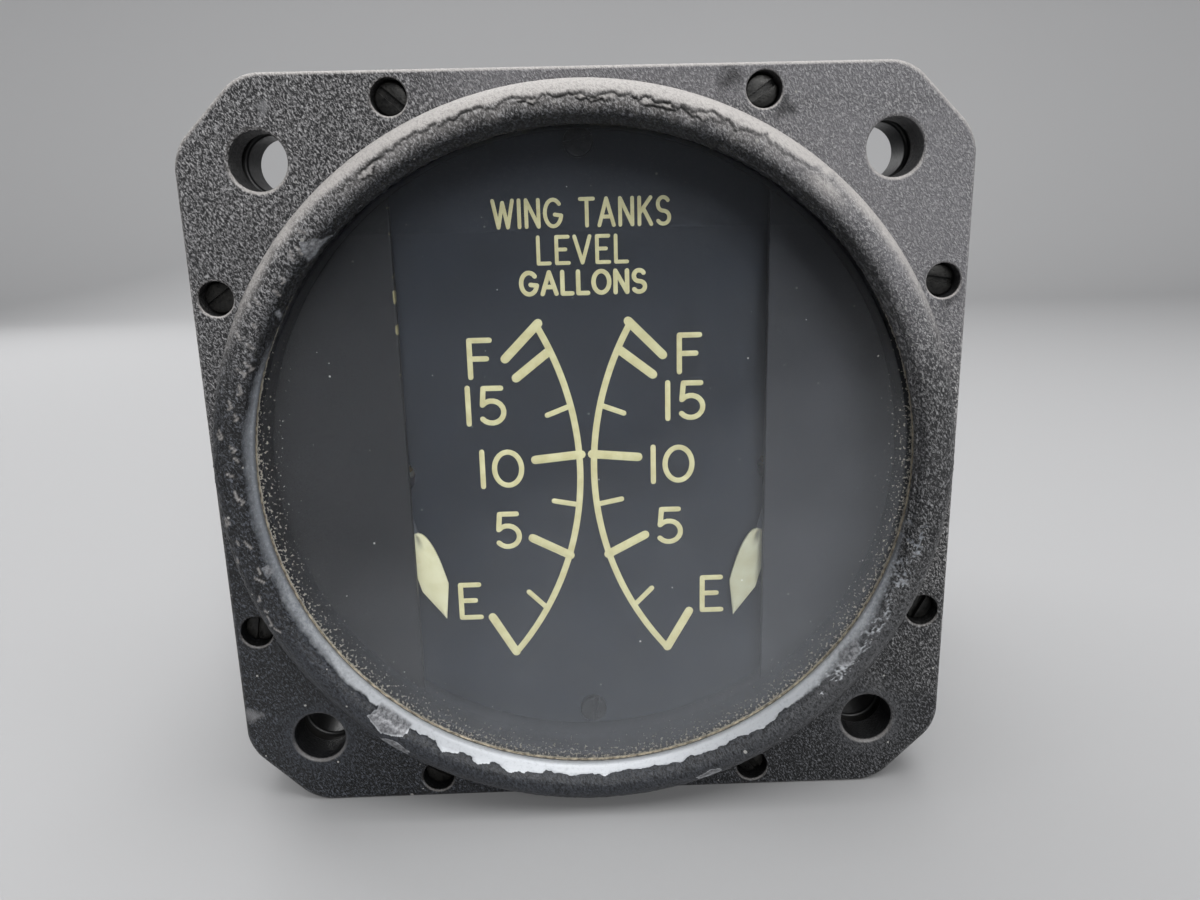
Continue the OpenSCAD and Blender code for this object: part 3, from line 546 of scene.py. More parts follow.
def finish_piece(bm, name, slot, *nodes, body="gauge", finish=None, sharp=34, weighted=False):
    bmesh.ops.remove_doubles(bm, verts=bm.verts, dist=MERGE_MM)
    bmesh.ops.recalc_face_normals(bm, faces=bm.faces)
    bmesh.ops.scale(bm, vec=(MM, MM, MM), verts=bm.verts)
    mesh = bpy.data.meshes.new(name)
    bm.to_mesh(mesh)
    bm.free()
    mesh.shade_smooth()
    mesh.set_sharp_from_angle(angle=math.radians(sharp))
    mesh.materials.append(finish or finishes[slot])
    piece = bpy.data.objects.new(name, mesh)
    bpy.context.collection.objects.link(piece)
    if weighted:
        piece.modifiers.new("flat_faces", "WEIGHTED_NORMAL").keep_sharp = True
    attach(piece, body)
    if nodes:
        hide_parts(*nodes)
    print(name, len(mesh.polygons), "faces")


def bow(centre, radii, start, end, steps=14):
    """Points of part of an ellipse, from one angle in degrees to another."""
    angles = [math.radians(start + (end - start) * i / steps) for i in range(steps + 1)]
    return [(centre[0] + radii[0] * math.cos(a), centre[1] + radii[1] * math.sin(a)) for a in angles]


def arc(centre, radius, start, end, steps):
    return bow(centre, (radius, radius), start, end, steps)


def evenly(points, gap):
    """The same polyline with a point at least every gap."""
    placed = [points[0]]
    for (r0, h0), (r1, h1) in zip(points, points[1:]):
        parts = max(1, math.ceil(math.hypot(r1 - r0, h1 - h0) / gap))
        placed += [(r0 + (r1 - r0) * i / parts, h0 + (h1 - h0) * i / parts) for i in range(1, parts + 1)]
    return placed


def turned(bm, profile, steps, closed=True, centre=(0.0, 0.0), sectors=1):
    """Spin a profile of (radius, height in front of the flange) about an axis along Y, in equal sectors."""
    rim = [bm.verts.new((centre[0] + r, -h, centre[1])) for r, h in profile]
    pairs = list(zip(rim, rim[1:])) + ([(rim[-1], rim[0])] if closed else [])
    edges = [bm.edges.new(pair) for pair in pairs]
    about = dict(cent=(centre[0], 0, centre[1]))
    sweep = dict(axis=(0, 1, 0), angle=TURN / sectors, steps=steps // sectors, use_merge=sectors == 1)
    bmesh.ops.spin(bm, geom=rim + edges, **sweep, **about)
    first = bm.verts[:] + bm.edges[:] + bm.faces[:]
    for i in range(1, sectors):
        copy = bmesh.ops.duplicate(bm, geom=first)["geom"]
        turn = Matrix.Rotation(TURN * i / sectors, 3, "Y")
        bmesh.ops.rotate(bm, matrix=turn, verts=only(bmesh.types.BMVert, copy), **about)
    if sectors > 1:
        bmesh.ops.remove_doubles(bm, verts=bm.verts, dist=MERGE_MM)


print("modelling helpers ready")

# %% [markdown]
# ## Bezel ring
# The ring is the raised, rounded part of the casting that fills the panel's cut-out. It is a turned form, so
# its profile is spun round. The enamel lies thick here: it has shrivelled into coarse folds, cracked along
# the crest in two jagged lines, creased into short sharp folds on the left, and flaked off along the lip and
# in a few chips. Bump alone looks flat at the silhouette, so all this is moved into the mesh, point by point,
# and the same sums paint the weights that the enamel's nodes read. The weights also paint light and shade: a
# painted highlight on the upper shoulder and on the sharp folds, and painted shade on the inner slope and the
# sides.

# %% Ring profile
bezel_low, bezel_high = cad_mm("bezel")
FLANGE_HALF = bezel_high.x
PLATE_BACK = bezel_high.y
CREST_H = -bezel_low.y
RING_R = FLANGE_HALF - 1.2
LIP_R = RING_R - 3.1
RECESS_R = RING_R - 1.0
LIP_H = 2.95
CREST_ROUND = 1.5
LIP_ROUND = 0.6
SEAT_H = 1.75
LIP_UNDERCUT = 0.2
FOOT = 0.25
FOLD_ROOM = 0.08
FINE_GAP, COARSE_GAP = 0.1, 0.3

crest = (RING_R - CREST_ROUND, CREST_H - FOLD_ROOM - CREST_ROUND)
lip = (LIP_R + LIP_ROUND, LIP_H - LIP_ROUND)
slope = math.degrees(math.atan2(CREST_H - LIP_H, crest[0] - lip[0]))
foot = arc((RING_R + FOOT, FOOT), FOOT, 270, 180, 4) + [(RING_R, crest[1])]
shoulder = arc(crest, CREST_ROUND, 0, 90 + slope, 20) + arc(lip, LIP_ROUND, 90 + slope, 205, 7)
inner_wall = [shoulder[-1], (LIP_R + LIP_UNDERCUT, SEAT_H)]
hidden = [(RECESS_R, SEAT_H), (RECESS_R, -PLATE_BACK), (RING_R + FOOT, -PLATE_BACK)]
ring_profile = evenly(foot, COARSE_GAP)[:-1] + evenly(shoulder, FINE_GAP)
ring_profile += evenly(inner_wall, COARSE_GAP)[1:] + hidden
print("ring profile:", len(ring_profile), "points, crest at", round(CREST_H, 2), "mm")

# %% Noise and steps


def smooth_step(low, high, value):
    share = min(1.0, max(0.0, (value - low) / (high - low)))
    return share * share * (3 - 2 * share)


def band(value, rise_from, rise_to, fall_from, fall_to):
    """1 between a rise and a fall, 0 outside them."""
    return smooth_step(rise_from, rise_to, value) * (1 - smooth_step(fall_from, fall_to, value))


def cloud(x, z, per_mm, seed):
    return noise.noise(Vector((x * per_mm, seed, z * per_mm)))


def crumpled(place, octaves):
    return noise.fractal(Vector(place), 0.8, 2.1, octaves)


def rough(x, z, per_mm, seed, octaves):
    return crumpled((x * per_mm, seed, z * per_mm), octaves)


def jagged(run, spacing, seed):
    """A zigzag along the ring, from -0.5 to 0.5, with corners about every spacing."""
    knot = math.floor(run / spacing)
    share = run / spacing - knot
    before, after = (noise.noise(Vector((i * 7.31, seed, 0.4))) for i in (knot, knot + 1))
    return before + (after - before) * share


print("half way up a step:", smooth_step(0, 1, 0.5))

# %% Ring: flaked paint
# Chips in the paint, each a convex outline of (x, z); the first few show dull metal
CHIPS = [
    [(-20.0, 17.75), (-18.15, 18.05), (-19.75, 16.35)],
    [(-22.45, 12.95), (-22.15, 12.95), (-22.1, 12.4), (-22.4, 12.35)],
    [(-18.4, -19.6), (-17.3, -18.9), (-14.9, -20.9), (-15.6, -21.6), (-17.4, -21.2)],
    [(-17.7, -21.8), (-16.5, -21.8), (-15.2, -23.0), (-15.5, -23.5), (-16.4, -23.1)],
    [(21.3, -14.5), (21.6, -15.4), (20.75, -16.6), (19.8, -16.8), (20.0, -15.8)],
    [(8.3, -26.4), (9.5, -25.6), (10.4, -25.6), (10.4, -26.1), (8.7, -26.7)],
    [(-25.45, -6.7), (-24.95, -6.5), (-24.65, -7.3), (-25.1, -7.6)],
    [(-13.2, -22.2), (-12.1, -22.3), (-10.9, -23.1), (-11.2, -23.5), (-12.6, -23.1)],
    [(-10.5, -23.5), (-9.4, -23.5), (-8.4, -24.1), (-8.8, -24.5), (-9.9, -24.4)],
    [(-7.9, -24.7), (-6.7, -24.6), (-5.4, -24.9), (-5.8, -25.4), (-7.2, -25.3)],
]
DULL_CHIPS = 7
CHIP_REACH = 4
FAR = 9.0
# Turns round the ring in degrees, from the right and over the top: where a thing starts and ends
WORN_TURNS = (146, 172, 328, 358)
BRIGHT_TURNS = (205, 240, 300, 318)
BLISTER_TURNS = (300, 322, 345, 358)
BLISTER_R = (27.3, 26.6)


def inside_chip(x, z, outline):
    """Distance inside a convex outline, in millimetres; negative outside."""
    middle = Vector((sum(p[0] for p in outline), sum(p[1] for p in outline))) / len(outline)
    depth = FAR
    for first, second in zip(outline, outline[1:] + outline[:1]):
        along = (Vector(second) - Vector(first)).normalized()
        inward = Vector((-along.y, along.x))
        if inward.dot(middle - Vector(first)) < 0:
            inward.negate()
        depth = min(depth, inward.dot(Vector((x, z)) - Vector(first)))
    return depth


def ring_wear(r, x, z, turn):
    """About 1 where the paint is gone, along the lip and in the chips, and about 1 well inside a dull chip."""
    bottom = band(turn, *BRIGHT_TURNS)
    zigzag = jagged(math.radians(turn) * LIP_R, 0.5, 5.0)
    lobes = 0.5 * rough(x, z, 0.4, 3.0, 2) + 0.25 * rough(x, z, 1.6, 9.0, 3) + 0.25 * zigzag
    border = LIP_R - 0.25 + 0.74 * band(turn, *WORN_TURNS) + 0.02 * bottom + lobes * (0.15 + 0.25 * bottom)
    worn = 0.5 + (border - r) * (0.8 + 0.8 * bottom)
    inside = dull = -FAR
    for number, outline in enumerate(CHIPS):
        if abs(x - outline[0][0]) < CHIP_REACH and abs(z - outline[0][1]) < CHIP_REACH:
            depth = inside_chip(x, z, outline)
            inside = max(inside, depth)
            dull = max(dull, depth) if number < DULL_CHIPS else dull
    worn = max(worn, 0.5 + 3 * inside + 0.3 * rough(x, z, 2.4, 9.0, 2))
    worms = abs(cloud(x, z, 2.5, 1.7)) + 0.5 * abs(cloud(x, z, 0.8, 6.1))
    blistered = band(turn, *BLISTER_TURNS) * smooth_step(*BLISTER_R, r)
    worn = max(worn, blistered * (0.95 - 2.5 * worms))
    return smooth_step(0.18 + 0.22 * bottom, 0.86 - 0.24 * bottom, worn), smooth_step(-0.08, 0.16, dull)


print(len(CHIPS), "chips in the paint,", DULL_CHIPS, "of them dull")

# %% Ring: cracks and folds
CREST_R = 27
CRACK_TURNS = (46, 58, 120, 136)
LEFT_TURNS = (120, 150, 190, 215)
FOLDS = 34
FOLD_START, FOLD_SPAN = 136, 70


def ring_cracks(r, x, z, turn):
    """Two jagged lines round the crest: how far inside each a point lies, in millimetres."""
    run = math.radians(turn) * CREST_R
    sway = 0.35 * cloud(x, z, 0.3, 2.0)
    outer = crest[0] + 0.34 + sway + 0.34 * jagged(run, 0.5, 1.0) + 0.28 * jagged(run, 0.2, 2.0)
    inner = crest[0] + 0.02 + sway + 0.5 * jagged(run, 0.7, 3.0) + 0.25 * jagged(run, 0.25, 4.0)
    return outer - r, inner - r


def crack_line(past):
    """1 in the middle of a split line and 0 beside it."""
    return 1 - smooth_step(0.05, 0.15, abs(past - 0.06))


def ring_fold(r, h, x, z, turn, upper):
    """Height of the shrivelled enamel, in millimetres."""
    slant = math.radians(turn) * CREST_R * 2.9 + 0.8 * (r + h)
    coarse = noise.noise(Vector((slant, (r - h) * 1.1, 3.0)))
    fine = noise.noise(Vector((slant * 2.1, (r - h) * 2.0, 8.0)))
    lumps = crumpled((x * 2.6, h * 2.6 + 5, z * 2.6), 2)
    left = band(turn, *LEFT_TURNS)
    return (0.25 + 0.75 * upper) * 0.075 * (coarse + 0.5 * fine) + (0.03 + 0.05 * left) * lumps


def folded_strokes():
    """Short sharp folds of the enamel on the left of the crest: pairs of (x, z) ends, some with a hook."""
    draw = random.Random(11)
    strokes = []
    for i in range(FOLDS):
        turn = math.radians(FOLD_START + FOLD_SPAN * (i + draw.random()) / FOLDS)
        r = crest[0] + draw.uniform(-0.6, 1.0)
        start = Vector((r * math.cos(turn), r * math.sin(turn)))
        heading = draw.uniform(-1.5, -0.5)
        end = start + draw.uniform(0.3, 0.75) * Vector((math.cos(heading), math.sin(heading)))
        strokes.append((start, end))
        if draw.random() < 0.4:
            strokes.append((end, end + 0.25 * Vector((math.cos(heading - 1.6), math.sin(heading - 1.6)))))
    return strokes


def fold_stroke(x, z, strokes):
    """About 1 on one of the strokes."""
    nearest = FAR
    for start, end in strokes:
        if abs(x - start.x) < 2 and abs(z - start.y) < 2:
            along = end - start
            share = min(1.0, max(0.0, (Vector((x, z)) - start).dot(along) / along.length_squared))
            nearest = min(nearest, (Vector((x, z)) - start - share * along).length)
    return 1 - smooth_step(0.02, 0.12, nearest)


strokes = folded_strokes()
print(len(strokes), "strokes of sharp folds")

# %% Ring mesh
RING_STEPS = 1088
RING_SECTORS = 16
GLASS_H = -cad_mm("glass")[0].y
UPPER_TURNS = (8, 40, 145, 190)
WEIGHTS = ("wear", "chipped", "grime", "crack_and_shade", "rub_and_highlight", "shade_and_fresh_paint", "slick")
INNER_R = (27.0, 25.7)
SHADED_R = (26.4, 25.4)


def ring_point(vert, layers):
    """Paint the weights of one point of the ring and move it by its folds, cracks and flakes."""
    x, y, z = vert.co
    r, h = math.hypot(x, z), -y
    height = z / r
    turn = math.degrees(math.atan2(z, x)) % 360
    upper = band(turn, *UPPER_TURNS)
    gone, chipped = ring_wear(r, x, z, turn)
    gone *= smooth_step(SEAT_H + 0.05, SEAT_H + 0.4, h)
    past_outer, past_inner = ring_cracks(r, x, z, turn)
    cracked = band(turn, *CRACK_TURNS)
    on_top = cracked * smooth_step(CREST_H - 1.3, CREST_H - 0.7, h)
    terrace = on_top * (smooth_step(-0.06, 0.06, past_outer) + smooth_step(-0.06, 0.06, past_inner))
    gaping = 0.75 + 0.25 * smooth_step(-0.15, 0.2, cloud(x, z, 0.35, 4.4))
    gaping *= 0.5 + 0.5 * smooth_step(54, 78, turn)
    broken = smooth_step(-0.1, 0.12, cloud(x, z, 0.45, 7.7)) * smooth_step(60, 76, turn)
    split = on_top * max(gaping * crack_line(past_outer), broken * crack_line(past_inner))
    between = on_top * broken * smooth_step(0.0, 0.15, past_outer) * (1 - smooth_step(-0.1, 0.05, past_inner))
    under_crack = 0.4 * cracked * (1 - smooth_step(0.1, 1.3, past_outer))
    fade = 0.15 + 1.1 * (1 - cracked)
    shoulder_side = 1 - smooth_step(-0.8 * fade, 0.4 * fade, past_outer)
    # Painted highlight: the shoulder is paler where it faces up, on the upper half of the ring.
    brightened = shoulder_side * smooth_step(0.05, 0.4, vert.normal.z) * smooth_step(0.2, 0.65, height)
    scuffed = math.exp(-(((turn - 50) / 4) ** 2) - ((r - crest[0] - 0.1) / 0.6) ** 2)
    dash = fold_stroke(x, z, strokes) if h > CREST_H - 1.6 else 0.0
    # The shoulder's painted highlight, a paler scuff, the paler bands by the cracks, and the sharp folds,
    # whose brightness is also a painted highlight.
    rub_and_highlight = max(brightened, 0.8 * scuffed, under_crack, 0.85 * between, 0.6 * dash)
    at_wall = 1 - smooth_step(0.02, 0.3, r - LIP_R)
    grime = at_wall * (1.0 - smooth_step(GLASS_H + 0.25, GLASS_H + 0.5, h)) * smooth_step(0.6, 0.2, height)
    # Painted shade on the inner slope of the upper half, towards the lip.
    shaded = smooth_step(*SHADED_R, r) * upper
    # The ring's sides and inner slope keep dark fresh paint: on the inner slope a painted shade, on the sides
    # partly painted shade.
    side_shade_and_fresh_paint = (0.75 if x > 0 else 0.95) * smooth_step(0.6, 0.1, height)
    inner_painted_shade = (0.95 - 0.3 * smooth_step(0.75, 0.95, x / r)) * smooth_step(*INNER_R, r)
    # The dark of the cracks, together with that painted shade.
    crack_and_shade = max(split, 0.6 * shaded) * (1 - gone)
    shade_and_fresh_paint = max(inner_painted_shade, side_shade_and_fresh_paint)
    slick = smooth_step(-0.2, -0.55, height)
    for layer, weight in zip(layers, (gone, chipped, grime, crack_and_shade, rub_and_highlight, shade_and_fresh_paint, slick)):
        vert[layer] = weight
    fold = ring_fold(r, h, x, z, turn, upper) * (1 - 0.85 * rub_and_highlight) * smooth_step(0.0, 0.4, h)
    lift = fold * (1 - gone) + 0.05 * dash - 0.06 * gone - 0.05 * terrace - 0.09 * split
    vert.co += vert.normal * min(FOLD_ROOM, lift)


bm = bmesh.new()
turned(bm, ring_profile, RING_STEPS, sectors=RING_SECTORS)
bmesh.ops.recalc_face_normals(bm, faces=bm.faces)
bm.normal_update()
layers = [bm.verts.layers.float.new(name) for name in WEIGHTS]
for vert in bm.verts:
    behind_lip = -vert.co.y < SEAT_H + 0.01 and math.hypot(vert.co.x, vert.co.z) < RING_R - 0.5
    if -vert.co.y >= 0.02 and not behind_lip:
        ring_point(vert, layers)
finish_piece(bm, "bezel_ring", "wrinkle_paint", "bezel", sharp=70)

# %% [markdown]
# ## Flange plate
# The square flange with its cut corners lies against the back of the panel. Its outline is drawn as a square
# whose corners are bevelled twice, once for the cut and once to round it. The holes are drawn inside it and
# the space between is filled. The filled face is copied to the rear, and each loop is rolled round its rim
# and back to it; a bevel afterwards would fail where a hole leaves only a thin wall, and there the
# rolled rim is simply smaller. The case flange and the receptacle's flange are the same plate with other
# numbers, so one helper makes all three.

# %% Plate helper
CORNER_LEG = 5.2
CORNER_ROUND = 3.4
CORNER_STEPS = 6
HOLE_PITCH = 2 * (FLANGE_HALF - 6.125)
PANEL_HOLE_R = 2.15
SCREW_TURN = 26.2
SCREW_CIRCLE = (FLANGE_HALF - 1.885) / math.cos(math.radians(SCREW_TURN))
FACE_FRONT = Matrix.Rotation(math.radians(90), 4, "X")
FRONT_ROLL, REAR_ROLL = (30, 60, 90), (90, 60, 30, 0)
THIN_WALL = 0.04


def bevelled(bm, geom, offset, affect, segments):
    bmesh.ops.bevel(bm, geom=geom, offset=offset, affect=affect, segments=segments, profile=0.5, material=-1)


def corner_places(pitch):
    return [(sx * pitch / 2, sz * pitch / 2) for sx in (-1, 1) for sz in (-1, 1)]


def rolled_wall(bm, verts, centre, size, rim, out, thick):
    """Carry a loop of the front face round its rim and back to the rear face; out is -1 for a hole."""
    edges = [e for e in bm.edges if e.is_boundary and e.verts[0] in verts and e.verts[1] in verts]
    about = Matrix.Translation((-centre[0], 0, -centre[1]))
    reach, sunk = size, 0.0
    for turn, at_rear in [(t, False) for t in FRONT_ROLL] + [(t, True) for t in REAR_ROLL]:
        made = bmesh.ops.extrude_edge_only(bm, edges=edges)["geom"]
        verts, edges = only(bmesh.types.BMVert, made), only(bmesh.types.BMEdge, made)
        grown = size + out * rim * math.sin(math.radians(turn))
        rolled = rim * (1 - math.cos(math.radians(turn)))
        depth = thick - rolled if at_rear else rolled
        bmesh.ops.scale(bm, vec=(grown / reach, 1, grown / reach), space=about, verts=verts)
        bmesh.ops.translate(bm, vec=(0, depth - sunk, 0), verts=verts)
        reach, sunk = grown, depth


def flange_plate(bm, half, leg, leg_round, holes, front, back, rim):
    """A square plate between two depths, with cut corners, round holes (x, z, radius) and rounded rims."""
    square = FACE_FRONT @ Matrix.Rotation(math.radians(45), 4, "Z")
    bmesh.ops.create_circle(bm, cap_ends=True, segments=4, radius=(half - rim) * math.sqrt(2), matrix=square)
    if leg:
        bevelled(bm, bm.verts[:], leg, "VERTICES", 1)
    trim = leg_round * math.tan(math.radians(22.5)) if leg else leg_round
    bevelled(bm, bm.verts[:], trim, "VERTICES", CORNER_STEPS)
    bmesh.ops.delete(bm, geom=bm.faces[:], context="FACES_ONLY")
    loops = [(set(bm.verts), (0, 0), half - rim, rim, 1)]
    for x, z, radius in holes:
        hole_rim = min(rim, half - max(abs(x), abs(z)) - radius - rim - THIN_WALL)
        place = Matrix.Translation((x, 0, z)) @ FACE_FRONT
        size = radius + hole_rim
        made = bmesh.ops.create_circle(bm, segments=max(40, int(radius * 8)), radius=size, matrix=place)
        loops.append((set(made["verts"]), (x, z), size, hole_rim, -1))
    bmesh.ops.triangle_fill(bm, use_beauty=True, edges=bm.edges[:], normal=(0, -1, 0))
    rear = bmesh.ops.duplicate(bm, geom=bm.verts[:] + bm.edges[:] + bm.faces[:])["geom"]
    for loop in loops:
        rolled_wall(bm, *loop, back - front)
    bmesh.ops.translate(bm, vec=(0, back - front, 0), verts=only(bmesh.types.BMVert, rear))
    bmesh.ops.remove_doubles(bm, verts=bm.verts, dist=MERGE_MM)
    bmesh.ops.translate(bm, vec=(0, front, 0), verts=bm.verts)


def in_hole(vert, holes):
    """True for a point on the wall or rim of one of the round holes."""
    return any(math.hypot(vert.co.x - x, vert.co.z - z) < radius + 0.5 for x, z, radius in holes)


print("hole square", round(HOLE_PITCH, 2), "mm, screw circle", round(SCREW_CIRCLE, 2), "mm")

# %% Flange plate
COUNTERBORE_R = 1.325
PAINT_RIM = 0.32
RIM_TOP, RIM_LOW = 0.02, 0.55 * PAINT_RIM

panel_holes = [(x, z, PANEL_HOLE_R) for x, z in corner_places(HOLE_PITCH)]
screw_turns = [math.radians(quarter + s * SCREW_TURN) for quarter in (0, 90, 180, 270) for s in (-1, 1)]
screw_places = [(SCREW_CIRCLE * math.cos(a), SCREW_CIRCLE * math.sin(a)) for a in screw_turns]
small_holes = panel_holes + [(x, z, COUNTERBORE_R) for x, z in screw_places]
bm = bmesh.new()
ring_hole = (0, 0, RING_R - 0.1)
flange_plate(bm, FLANGE_HALF, CORNER_LEG, CORNER_ROUND, small_holes + [ring_hole], 0.0, PLATE_BACK, PAINT_RIM)
rim_highlight_layer, hole_shade_layer = (bm.verts.layers.float.new(name) for name in ("rub_and_highlight", "crack_and_shade"))
bmesh.ops.recalc_face_normals(bm, faces=bm.faces)
bm.normal_update()
for vert in bm.verts:
    # Rim bevels get a painted highlight, stronger where they face up and higher on the plate.
    if RIM_TOP < vert.co.y < RIM_LOW:
        lit = 0.35 + 0.65 * smooth_step(-18, 4, vert.co.z)
        vert[rim_highlight_layer] = lit * (0.15 + 0.75 * smooth_step(0.0, 0.5, vert.normal.z))
    # Hole walls get painted shade, darker deeper in.
    elif vert.co.y > PAINT_RIM / 2 and in_hole(vert, small_holes):
        vert[hole_shade_layer] = 0.75 + 0.2 * smooth_step(0.0, PLATE_BACK, vert.co.y)
finish_piece(bm, "bezel_flange", "wrinkle_paint", "bezel", weighted=True)

# %% [markdown]
# ## Glass disc
# The pane is a disc with ground edges that rests behind the lip. A circle pulled to its thickness with its
# two rims bevelled is all it needs; the look is in its finish.

# %% Glass disc
GLASS_STEPS = 192
GLASS_RIM = 0.15
RIM_ANGLE = math.radians(60)


def round_plate(bm, front, back, rim):
    """Pull a flat face to a plate between two depths and bevel its rims."""
    bmesh.ops.translate(bm, vec=(0, front, 0), verts=bm.verts)
    pulled = bmesh.ops.extrude_face_region(bm, geom=bm.faces[:])["geom"]
    bmesh.ops.translate(bm, vec=(0, back - front, 0), verts=only(bmesh.types.BMVert, pulled))
    bmesh.ops.recalc_face_normals(bm, faces=bm.faces)
    rims = [e for e in bm.edges if len(e.link_faces) == 2 and e.calc_face_angle() > RIM_ANGLE]
    bevelled(bm, rims, rim, "EDGES", 2)


glass_low, glass_high = cad_mm("glass")
bm = bmesh.new()
bmesh.ops.create_circle(bm, cap_ends=True, segments=GLASS_STEPS, radius=glass_high.x, matrix=FACE_FRONT)
round_plate(bm, glass_low.y, glass_high.y, GLASS_RIM)
finish_piece(bm, "glass_disc", "glass", "glass", weighted=True)

# %% [markdown]
# ## Masks
# Two black segments stand in front of the dial and hide the hubs of the pointers. Each is a disc cut off by a
# straight edge. The cut edge is split into short lengths, so that knocks along it can be moved into the mesh
# and its paint can be chipped, which it is on the left mask only.

# %% Masks
mask_low, mask_high = cad_mm("right_mask")
MASK_EDGE = mask_low.x
MASK_R = mask_high.x
MASK_STEPS = 240
MASK_RIM = 0.1
EDGE_PARTS = 110
CHIP_W = 0.24
KNOCK = 0.05


def mask(side, name, node, finish, chips):
    bm = bmesh.new()
    bmesh.ops.create_circle(bm, cap_ends=True, segments=MASK_STEPS, radius=MASK_R, matrix=FACE_FRONT)
    for cut, clear in ((MASK_EDGE, True), (MASK_EDGE + CHIP_W, False)):
        whole = bm.verts[:] + bm.edges[:] + bm.faces[:]
        plane = dict(plane_co=(side * cut, 0, 0), plane_no=(side, 0, 0))
        bmesh.ops.bisect_plane(bm, geom=whole, clear_inner=clear, **plane)
    straight = [e for e in bm.edges if all(abs(v.co.x) - MASK_EDGE < CHIP_W + 0.01 for v in e.verts)]
    straight = [e for e in straight if abs(e.verts[0].co.x - e.verts[1].co.x) < 0.01]
    bmesh.ops.subdivide_edges(bm, edges=straight, cuts=EDGE_PARTS, use_grid_fill=True)
    round_plate(bm, mask_low.y, mask_high.y, MASK_RIM)
    chip_layer = bm.verts.layers.float.new("chip")
    for vert in bm.verts:
        if abs(vert.co.x) - MASK_EDGE < CHIP_W / 2:
            knock = 0.5 + 0.5 * crumpled((vert.co.z * 0.8, side * 4.0, 1.0), 3)
            vert.co.x += side * KNOCK * knock * (vert.co.y < mask_low.y + 0.3)
            vert[chip_layer] = chips * smooth_step(0.35, 0.9, knock) * smooth_step(-6, 8, vert.co.z)
    finish_piece(bm, name, "mask_black", node, finish=finish, weighted=True)


mask(-1, "left_mask_plate", "left_mask", left_mask_black, 0.95)
mask(1, "right_mask_plate", "right_mask", mask_black, 0.0)

# %% [markdown]
# ## Dial print
# The scales were screened on in cream ink: for each tank an arc with long and short ticks, and figures drawn
# with a round pen. Each stroke is a poly curve with a round bevel, whose width is the point's radius. Strokes
# end at sharp corners, so the joins come out round, as ink does. The curve is made a mesh and pressed flat
# into a film on the dial.

# %% Stroke lettering
STEM = [(0.05, 0.0), (0.05, 1.0)]
# Each letter is its width and its strokes, one unit high
LETTERS = {
    "0": (0.80, [bow((0.40, 0.5), (0.38, 0.48), 0, 360, 28)]),
    "1": (0.10, [STEM]),
    "5": (0.68, [[(0.60, 0.98), (0.12, 0.98)], [(0.12, 0.98), (0.08, 0.52)],
                 [(0.08, 0.52)] + bow((0.33, 0.32), (0.33, 0.31), 118, -142)]),
    "A": (0.78, [[(0.02, 0.0), (0.39, 1.0)], [(0.39, 1.0), (0.76, 0.0)], [(0.16, 0.32), (0.62, 0.32)]]),
    "E": (0.60, [STEM, [(0.05, 1.0), (0.58, 1.0)], [(0.05, 0.52), (0.46, 0.52)],
                 [(0.05, 0.0), (0.60, 0.0)]]),
    "F": (0.60, [STEM, [(0.05, 1.0), (0.60, 1.0)], [(0.05, 0.50), (0.50, 0.50)]]),
    "G": (0.86, [bow((0.44, 0.5), (0.42, 0.5), 42, 345, 20), [(0.85, 0.40), (0.52, 0.44)]]),
    "I": (0.10, [STEM]),
    "K": (0.68, [STEM, [(0.62, 1.0), (0.06, 0.42)], [(0.25, 0.60), (0.66, 0.0)]]),
    "L": (0.58, [[(0.05, 1.0), (0.05, 0.0)], [(0.05, 0.0), (0.56, 0.0)]]),
    "N": (0.72, [STEM, [(0.05, 1.0), (0.67, 0.0)], [(0.67, 0.0), (0.67, 1.0)]]),
    "O": (0.88, [bow((0.44, 0.5), (0.42, 0.5), 0, 360, 28)]),
    "S": (0.66, [bow((0.33, 0.745), (0.28, 0.255), 32, 270) + bow((0.33, 0.245), (0.31, 0.245), 90, -148)]),
    "T": (0.70, [[(0.02, 1.0), (0.68, 1.0)], [(0.35, 1.0), (0.35, 0.0)]]),
    "V": (0.74, [[(0.02, 1.0), (0.37, 0.0)], [(0.37, 0.0), (0.72, 1.0)]]),
    "W": (1.04, [[(0.02, 1.0), (0.28, 0.0)], [(0.28, 0.0), (0.52, 0.92)], [(0.52, 0.92), (0.76, 0.0)],
                 [(0.76, 0.0), (1.02, 1.0)]]),
    " ": (0.42, []),
}
LETTER_GAP = 0.26


def word_strokes(word, centre, height, pen, width=None):
    """Strokes of a word as lists of (x, z) with the pen's width, centred on a place."""
    natural = sum(LETTERS[c][0] for c in word) + LETTER_GAP * (len(word) - 1)
    stretch = (width / natural) if width else height
    left = centre[0] - natural * stretch / 2
    strokes = []
    for c in word:
        for stroke in LETTERS[c][1]:
            strokes.append(([(left + u * stretch, centre[1] + (v - 0.5) * height) for u, v in stroke], pen))
        left += (LETTERS[c][0] + LETTER_GAP) * stretch
    return strokes


print("letters:", "".join(sorted(LETTERS)).strip())

# %% Scale strokes
PIVOT_X, PIVOT_Z = 16.5, -2.3
ARC_CENTRE_X = 26.45
ARC_R = 25.85
ARC_PEN = 0.55
ARC_STEPS = 60
ARC_TOP_Z, ARC_END_Z = 10.5, -19.2
THICK, THIN = 0.75, 0.45
